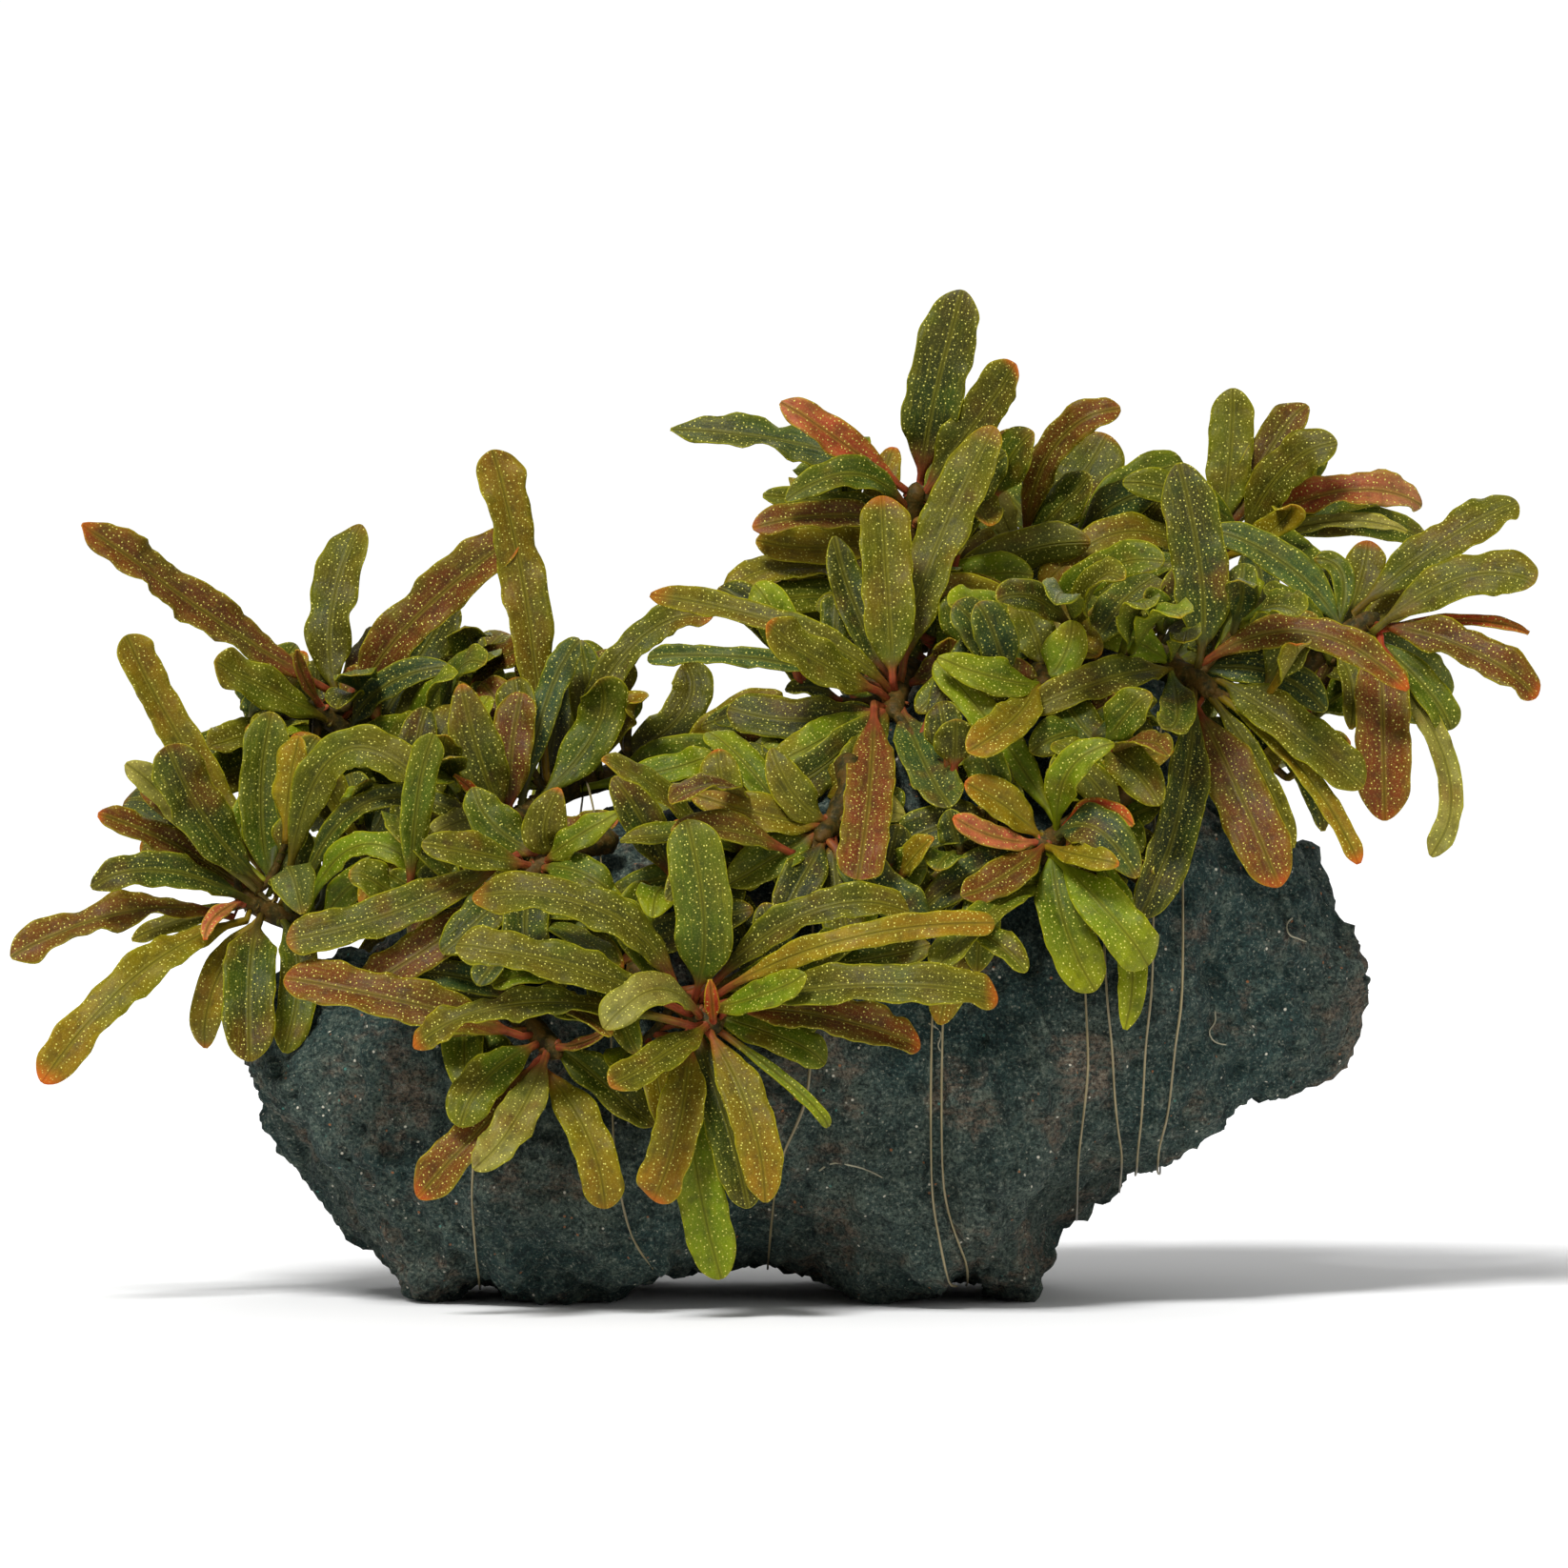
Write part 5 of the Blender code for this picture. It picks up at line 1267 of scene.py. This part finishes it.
# where the side shoots of each stem end: x, z, how far off the rock (below 0 on its back), number of
# leaves and their length
sideShoots = {
    "left": ((-47, 40, 3, 7, 14), (-41, 45, 5, 8, 15), (-50, 48, 3, 6, 13), (-43, 51, 4, 7, 14),
             (-57, 50, 3, 5, 11)),
    "upper_left": ((-46, 55, 3, 8, 14), (-37, 54, 4, 8, 14), (-40, 59, 4, 7, 14), (-49, 57, 3, 6, 13),
                   (-34, 60, 4, 6, 12), (-54, 60, 3, 5, 11), (-42, 64, 2, 5, 11)),
    "mid_left": ((-38, 50, 4, 7, 13), (-33, 55, 4, 8, 14), (-25, 58, 4, 8, 14), (-17, 55, 3, 8, 13),
                 (-10, 55, 3, 7, 12)),
    "mid_front": ((-37, 36, 3, 7, 13), (-30, 43, 4, 8, 14), (-24, 40, 4, 7, 13), (-38, 43, 4, 7, 13)),
    "front_left": ((-24, 33, 3, 6, 12), (-32, 31, 3, 6, 12)),
    "front_centre": ((-18, 36, 3, 7, 12), (3, 36, 3, 6, 12), (-13, 28, 3, 5, 10)),
    "inner_centre": ((-4, 47, 4, 8, 14), (3, 48, 4, 8, 14), (-10, 44, 4, 8, 14), (8, 42, 4, 7, 13),
                     (0, 53, 3, 8, 13), (14, 45, 3, 8, 13)),
    "centre": ((9, 52, 4, 8, 14), (3, 59, 4, 8, 14), (20, 56, 4, 8, 14), (7, 68, 3, 7, 13)),
    "top": ((9, 76, 3, 7, 13), (20, 76, 3, 7, 13), (5, 81, 3, 6, 13), (24, 83, 3, 6, 12), (13, 71, 3, 8, 13),
            (18, 72, -3, 8, 13)),
    "back_top": ((27, 73, 3, 8, 14), (33, 79, 3, 6, 12), (23, 71, 3, 8, 14), (34, 73, 3, 8, 13),
                 (29, 68, 3, 8, 14), (38, 77, 3, 6, 12)),
    "upper_mid": ((33, 71, 4, 8, 13), (26, 64, 4, 8, 13), (36, 58, 4, 8, 14), (22, 67, 3, 8, 14),
                  (38, 67, 3, 8, 14), (32, 65, 5, 8, 13), (41, 61, 3, 8, 13)),
    "mid_right": ((20, 48, 4, 8, 14), (30, 44, 4, 7, 13), (38, 50, 4, 8, 14), (16, 42, 3, 7, 13),
                  (40, 44, 3, 7, 13), (33, 55, 4, 8, 13), (24, 53, 4, 8, 14)),
    "right": ((42, 66, 4, 8, 14), (50, 71, 4, 7, 13), (54, 64, 4, 7, 13), (45, 50, 3, 6, 13)),
    "upper_right": ((43, 77, 3, 7, 13), (54, 80, 3, 7, 13)),
    "far_right": ((58, 61, 3, 6, 13), (60, 67, 3, 7, 13)),
    "back_left": ((-24, 40, -3, 7, 14), (-4, 38, -3, 7, 14), (-34, 36, -3, 7, 13), (8, 44, -3, 7, 14)),
    "back_right": ((20, 50, -3, 7, 14), (42, 48, -3, 7, 14), (32, 56, -3, 7, 14), (12, 52, -3, 7, 13)),
}

gapShoots = (  # the last ones, which fill what is still open between the others
    ("centre", 4, 65, 3, 7, 12),
    ("centre", 18, 69, 4, 7, 12),
    ("right", 55, 55, 3, 6, 11),
    ("right", 42, 70, 5, 7, 12),
    ("upper_left", -30, 66, 3, 7, 12),
    ("mid_left", -14, 62, 3, 6, 11),
    ("upper_left", -52, 61, 5, 6, 11),
)

shootForm = {
    "radius": 0.6,
    "taper": 0.6,
    "sag": 1.5,
    "endRoom": 2.4,  # how far its end and its middle stay off the rock, at least
    "middleRoom": 1.7,
    "deepest": 6,  # how far behind its stem it may end, where the rock lies further back
    "ways": (0.6, 0.45, 0.4),  # how much it points off the rock, to its own side and up
    "fewest": 3,  # leaves, with fewer than which a shoot is left out
    "spread": 0.6,  # the share of the shoot that has leaves
    "turn": 137.5,
    "turnMore": 23,  # degrees, at each further try
    "tilts": (38, 88),  # degrees from the shoot's own direction, of its youngest and oldest leaf
    "turnDraw": 25,
    "tiltDraw": 10,
    "rollDraw": 25,
    "lengths": (1.1, 1.75),  # of the leaf length above
    "shorter": 0.02,  # at each further try
    "foot": 0.7,
    "droop": 0.1,
    "arch": 0.09,
    "widths": (3.2, 4.9),
    "wave": (0.05, 0.32),
    "clear": 0.12,
    "testRings": (0.22, 0.45, 0.7, 0.9, 0.995),
    "testThick": 0.2,
    "seenAt": (0.4, 0.6, 0.8, 1.0),  # the shares of a leaf's length that isWelcome looks at
    "backRoom": 1.2,  # how far inside the part's back the tips stay
    "fold": 0.2,
    "tries": 40,
    "words": ("olive", "green", "dark", "green", "brown", "olive", "bright", "teal", "ochre", "green"),
}

massOutline = (  # x and z round the mass of leaves as it is seen from the front
    (-71.5, 56.3), (-65, 59.3), (-60, 56.3), (-55, 62.3), (-50, 67.3), (-43, 68.3), (-36, 71.3),
    (-30, 72.3), (-24, 71.3), (-18, 70.3), (-14.5, 65.3), (-14.5, 57.3), (-10, 56.3), (-6.5, 57),
    (-6.5, 62), (0, 63.5), (1.5, 66.5), (0, 71.3), (-10, 72.3), (-11, 74.8), (0, 76.3), (2, 80.3),
    (-2, 82.3), (-1, 86.3), (5, 89.3), (10, 92.3), (15, 89.3), (25, 92.3), (30, 90.3), (37, 91.3),
    (45, 89.3), (49, 91.3), (60, 91.3), (62, 86.3), (70, 83.3), (70, 79.3), (80, 82.3), (82, 76.3),
    (80, 72.3), (70, 72.3), (76, 66.3), (70, 58.3), (64, 60.3), (62, 52.3), (57, 46.3), (53, 46.3),
    (48, 52.3), (44, 48.3), (41.5, 36.3), (38.5, 29.3), (34, 33.3), (26, 36.3), (24, 31.3), (16, 27.8),
    (10, 26.8), (6, 21.3), (0, 16.3), (-10, 16.3), (-16, 14.3), (-24, 17.3), (-32, 16.3), (-36, 13.3),
    (-33, 25.3), (-36, 30.3), (-49, 31.8), (-54, 26.3), (-60, 27.3), (-62, 36.3), (-69, 35.3),
    (-75, 36.3), (-74, 40.3), (-67, 43.3), (-71, 46.3), (-68, 51.3),
)


def coarseLeaf(shape, grow):
    # a few rings as wide as the leaf, to test whether it would touch another
    base, middle, tip, width, roll, facing = shape
    length = (tip - base).length
    thick = shootForm["testThick"] + grow
    points = []
    side = None
    for t in shootForm["testRings"]:
        centre, along = curveAt(base, middle, tip, t)
        side = sideAt(along, facing, roll, side)
        normal = side.cross(along).normalized()
        half = float(bladeHalf(np.array(t), width, length)) + grow
        for way in (-side * half, normal * thick, side * half, -normal * thick):
            points.append(tuple(atOrigin(centre + way)))
    faces = []
    for here in range(len(points) - 4):
        there = here + 1 if here % 4 < 3 else here - 3
        faces.append((here, there, there + 4, here + 4))
    return BVHTree.FromPolygons(points, faces)


def isFree(tree):
    return not any(tree.overlap(other) for other in standing)


def inMass(place):
    inside = False
    for (x1, z1), (x2, z2) in zip(massOutline, massOutline[1:] + massOutline[:1]):
        if (z1 > place.z) != (z2 > place.z) and place.x < x1 + (place.z - z1) * (x2 - x1) / (z2 - z1):
            inside = not inside
    return inside


def isWelcome(shape):
    # inside the mass, and not in front of a leaf or stem that is seen in the photo
    base, middle, tip, _, _, facing = shape
    for t in shootForm["seenAt"]:
        point = curveAt(base, middle, tip, t)[0]
        if not inMass(point):
            return False
        if facing < 0 and shownTree.ray_cast(atOrigin(point), Vector((0, 1, 0)), 0.03)[0]:
            return False
    return True


def shootPlace(name, x, z, off):
    # the shoot's end, in front of the rock or beside its stem, its direction, and where it starts
    ySide = 1 if off < 0 else -1  # the rock's back is on the side of +Y
    hit = rockTree.ray_cast(Vector((x, 100 * ySide, z)), Vector((0, -ySide, 0)))[0]
    start = min(stemLines[name], key=lambda point: (point - Vector((x, point.y, z))).length)
    y = start.y - 1
    if hit:
        y = max(hit.y, start.y) - off if off < 0 else min(hit.y, start.y + shootForm["deepest"]) - off
    place = offRock(Vector((x, y, z)), shootForm["endRoom"])
    out = (place - rockTree.find_nearest(place)[0]).normalized()
    away, sideways, up = shootForm["ways"]
    return place, (out * away + Vector((0, sideways * ySide, up))).normalized(), start


def heldBack(place):
    # a place that would lie past the part's back is turned in along it
    over = place.y - (inDrawing(cadBox[1]).y - shootForm["backRoom"])
    if over > 0:
        place.y -= over * (1 + shootForm["fold"])
    return place


def draw(key):
    return dice.uniform(-shootForm[key], shootForm[key])


def growShoot(name, number, x, z, off, count, size):
    place, way, start = shootPlace(name, x, z, off)
    halfway = offRock((place + start) / 2 - way * shootForm["sag"], shootForm["middleRoom"])
    one = way.cross(Vector((0.3, 0.2, 0.9))).normalized()
    two = way.cross(one)
    low, high = shootForm["tilts"]
    rise = (way + Vector((0, 0, 0.4))) * shootForm["arch"]
    pieces = []
    for leaf in range(count):
        root = curveAt(start, halfway, place, 1 - shootForm["spread"] / count * leaf)[0]
        for attempt in range(shootForm["tries"]):
            turn = leaf * shootForm["turn"] + draw("turnDraw") + attempt * shootForm["turnMore"]
            turn = math.radians(turn)
            tilt = math.radians(low + (high - low) * leaf / count + draw("tiltDraw"))
            length = size * dice.uniform(*shootForm["lengths"]) * (1 - shootForm["shorter"] * attempt)
            along = way * math.cos(tilt) + (one * math.cos(turn) + two * math.sin(turn)) * math.sin(tilt)
            droop = shootForm["droop"] * length * dice.uniform(0, 2)
            tip = heldBack(root + along * length - Vector((0, 0, droop)))
            middle = heldBack((root + tip) / 2 + rise * length)
            width = dice.uniform(*shootForm["widths"])
            foot = root + along * shootForm["foot"]
            shape = (foot, middle, tip, width, draw("rollDraw"), 1 if off < 0 else -1)
            if isWelcome(shape) and isFree(coarseLeaf(shape, shootForm["clear"])):
                standing.append(coarseLeaf(shape, 0))
                word = shootForm["words"][int(dice.integers(0, len(shootForm["words"])))]
                wave = dice.uniform(*shootForm["wave"])
                label = f"side_{name}_{number}_{leaf}"
                red = name in leafLooks["redStalked"]
                pieces.append(growLeaf(blanks["side"], label, shape, root, wave, word, red))
                break
    if len(pieces) < shootForm["fewest"]:
        for leaf in pieces:
            bpy.data.objects.remove(leaf)
            standing.pop()
        return []
    stalk = tubeAlong("shoot_" + name, [start, halfway, place], shootForm["radius"], shootForm["taper"])
    return [stalk, *pieces]


blanks = {size: leafBlank(*grid) for size, grid in leafForm["grids"].items()}
blades = buildLargeLeaves()
print("large leaves done")
plants = {name: buildPlant(name) for name in rhizomes}
print("stems and young leaves done")
buildFibres()
built = [*blades, *plants.values()]
shownTree = surfaceOf(built)
standing = [surfaceOf([obj]) for obj in [*built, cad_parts["lava_rock"]]]
parts = {name: [plant] for name, plant in plants.items()}
shoots = [(name, *shoot) for name, ends in sideShoots.items() for shoot in ends]
for number, (name, *shoot) in enumerate([*shoots, *gapShoots]):
    parts[name] += growShoot(name, number, *shoot)
for name, pieces in parts.items():
    keepPiece(joinPieces("plant_" + name, pieces), "stem", ["rhizome_" + name])
print("side shoots done:", len(standing) - len(built) - 1, "leaves")
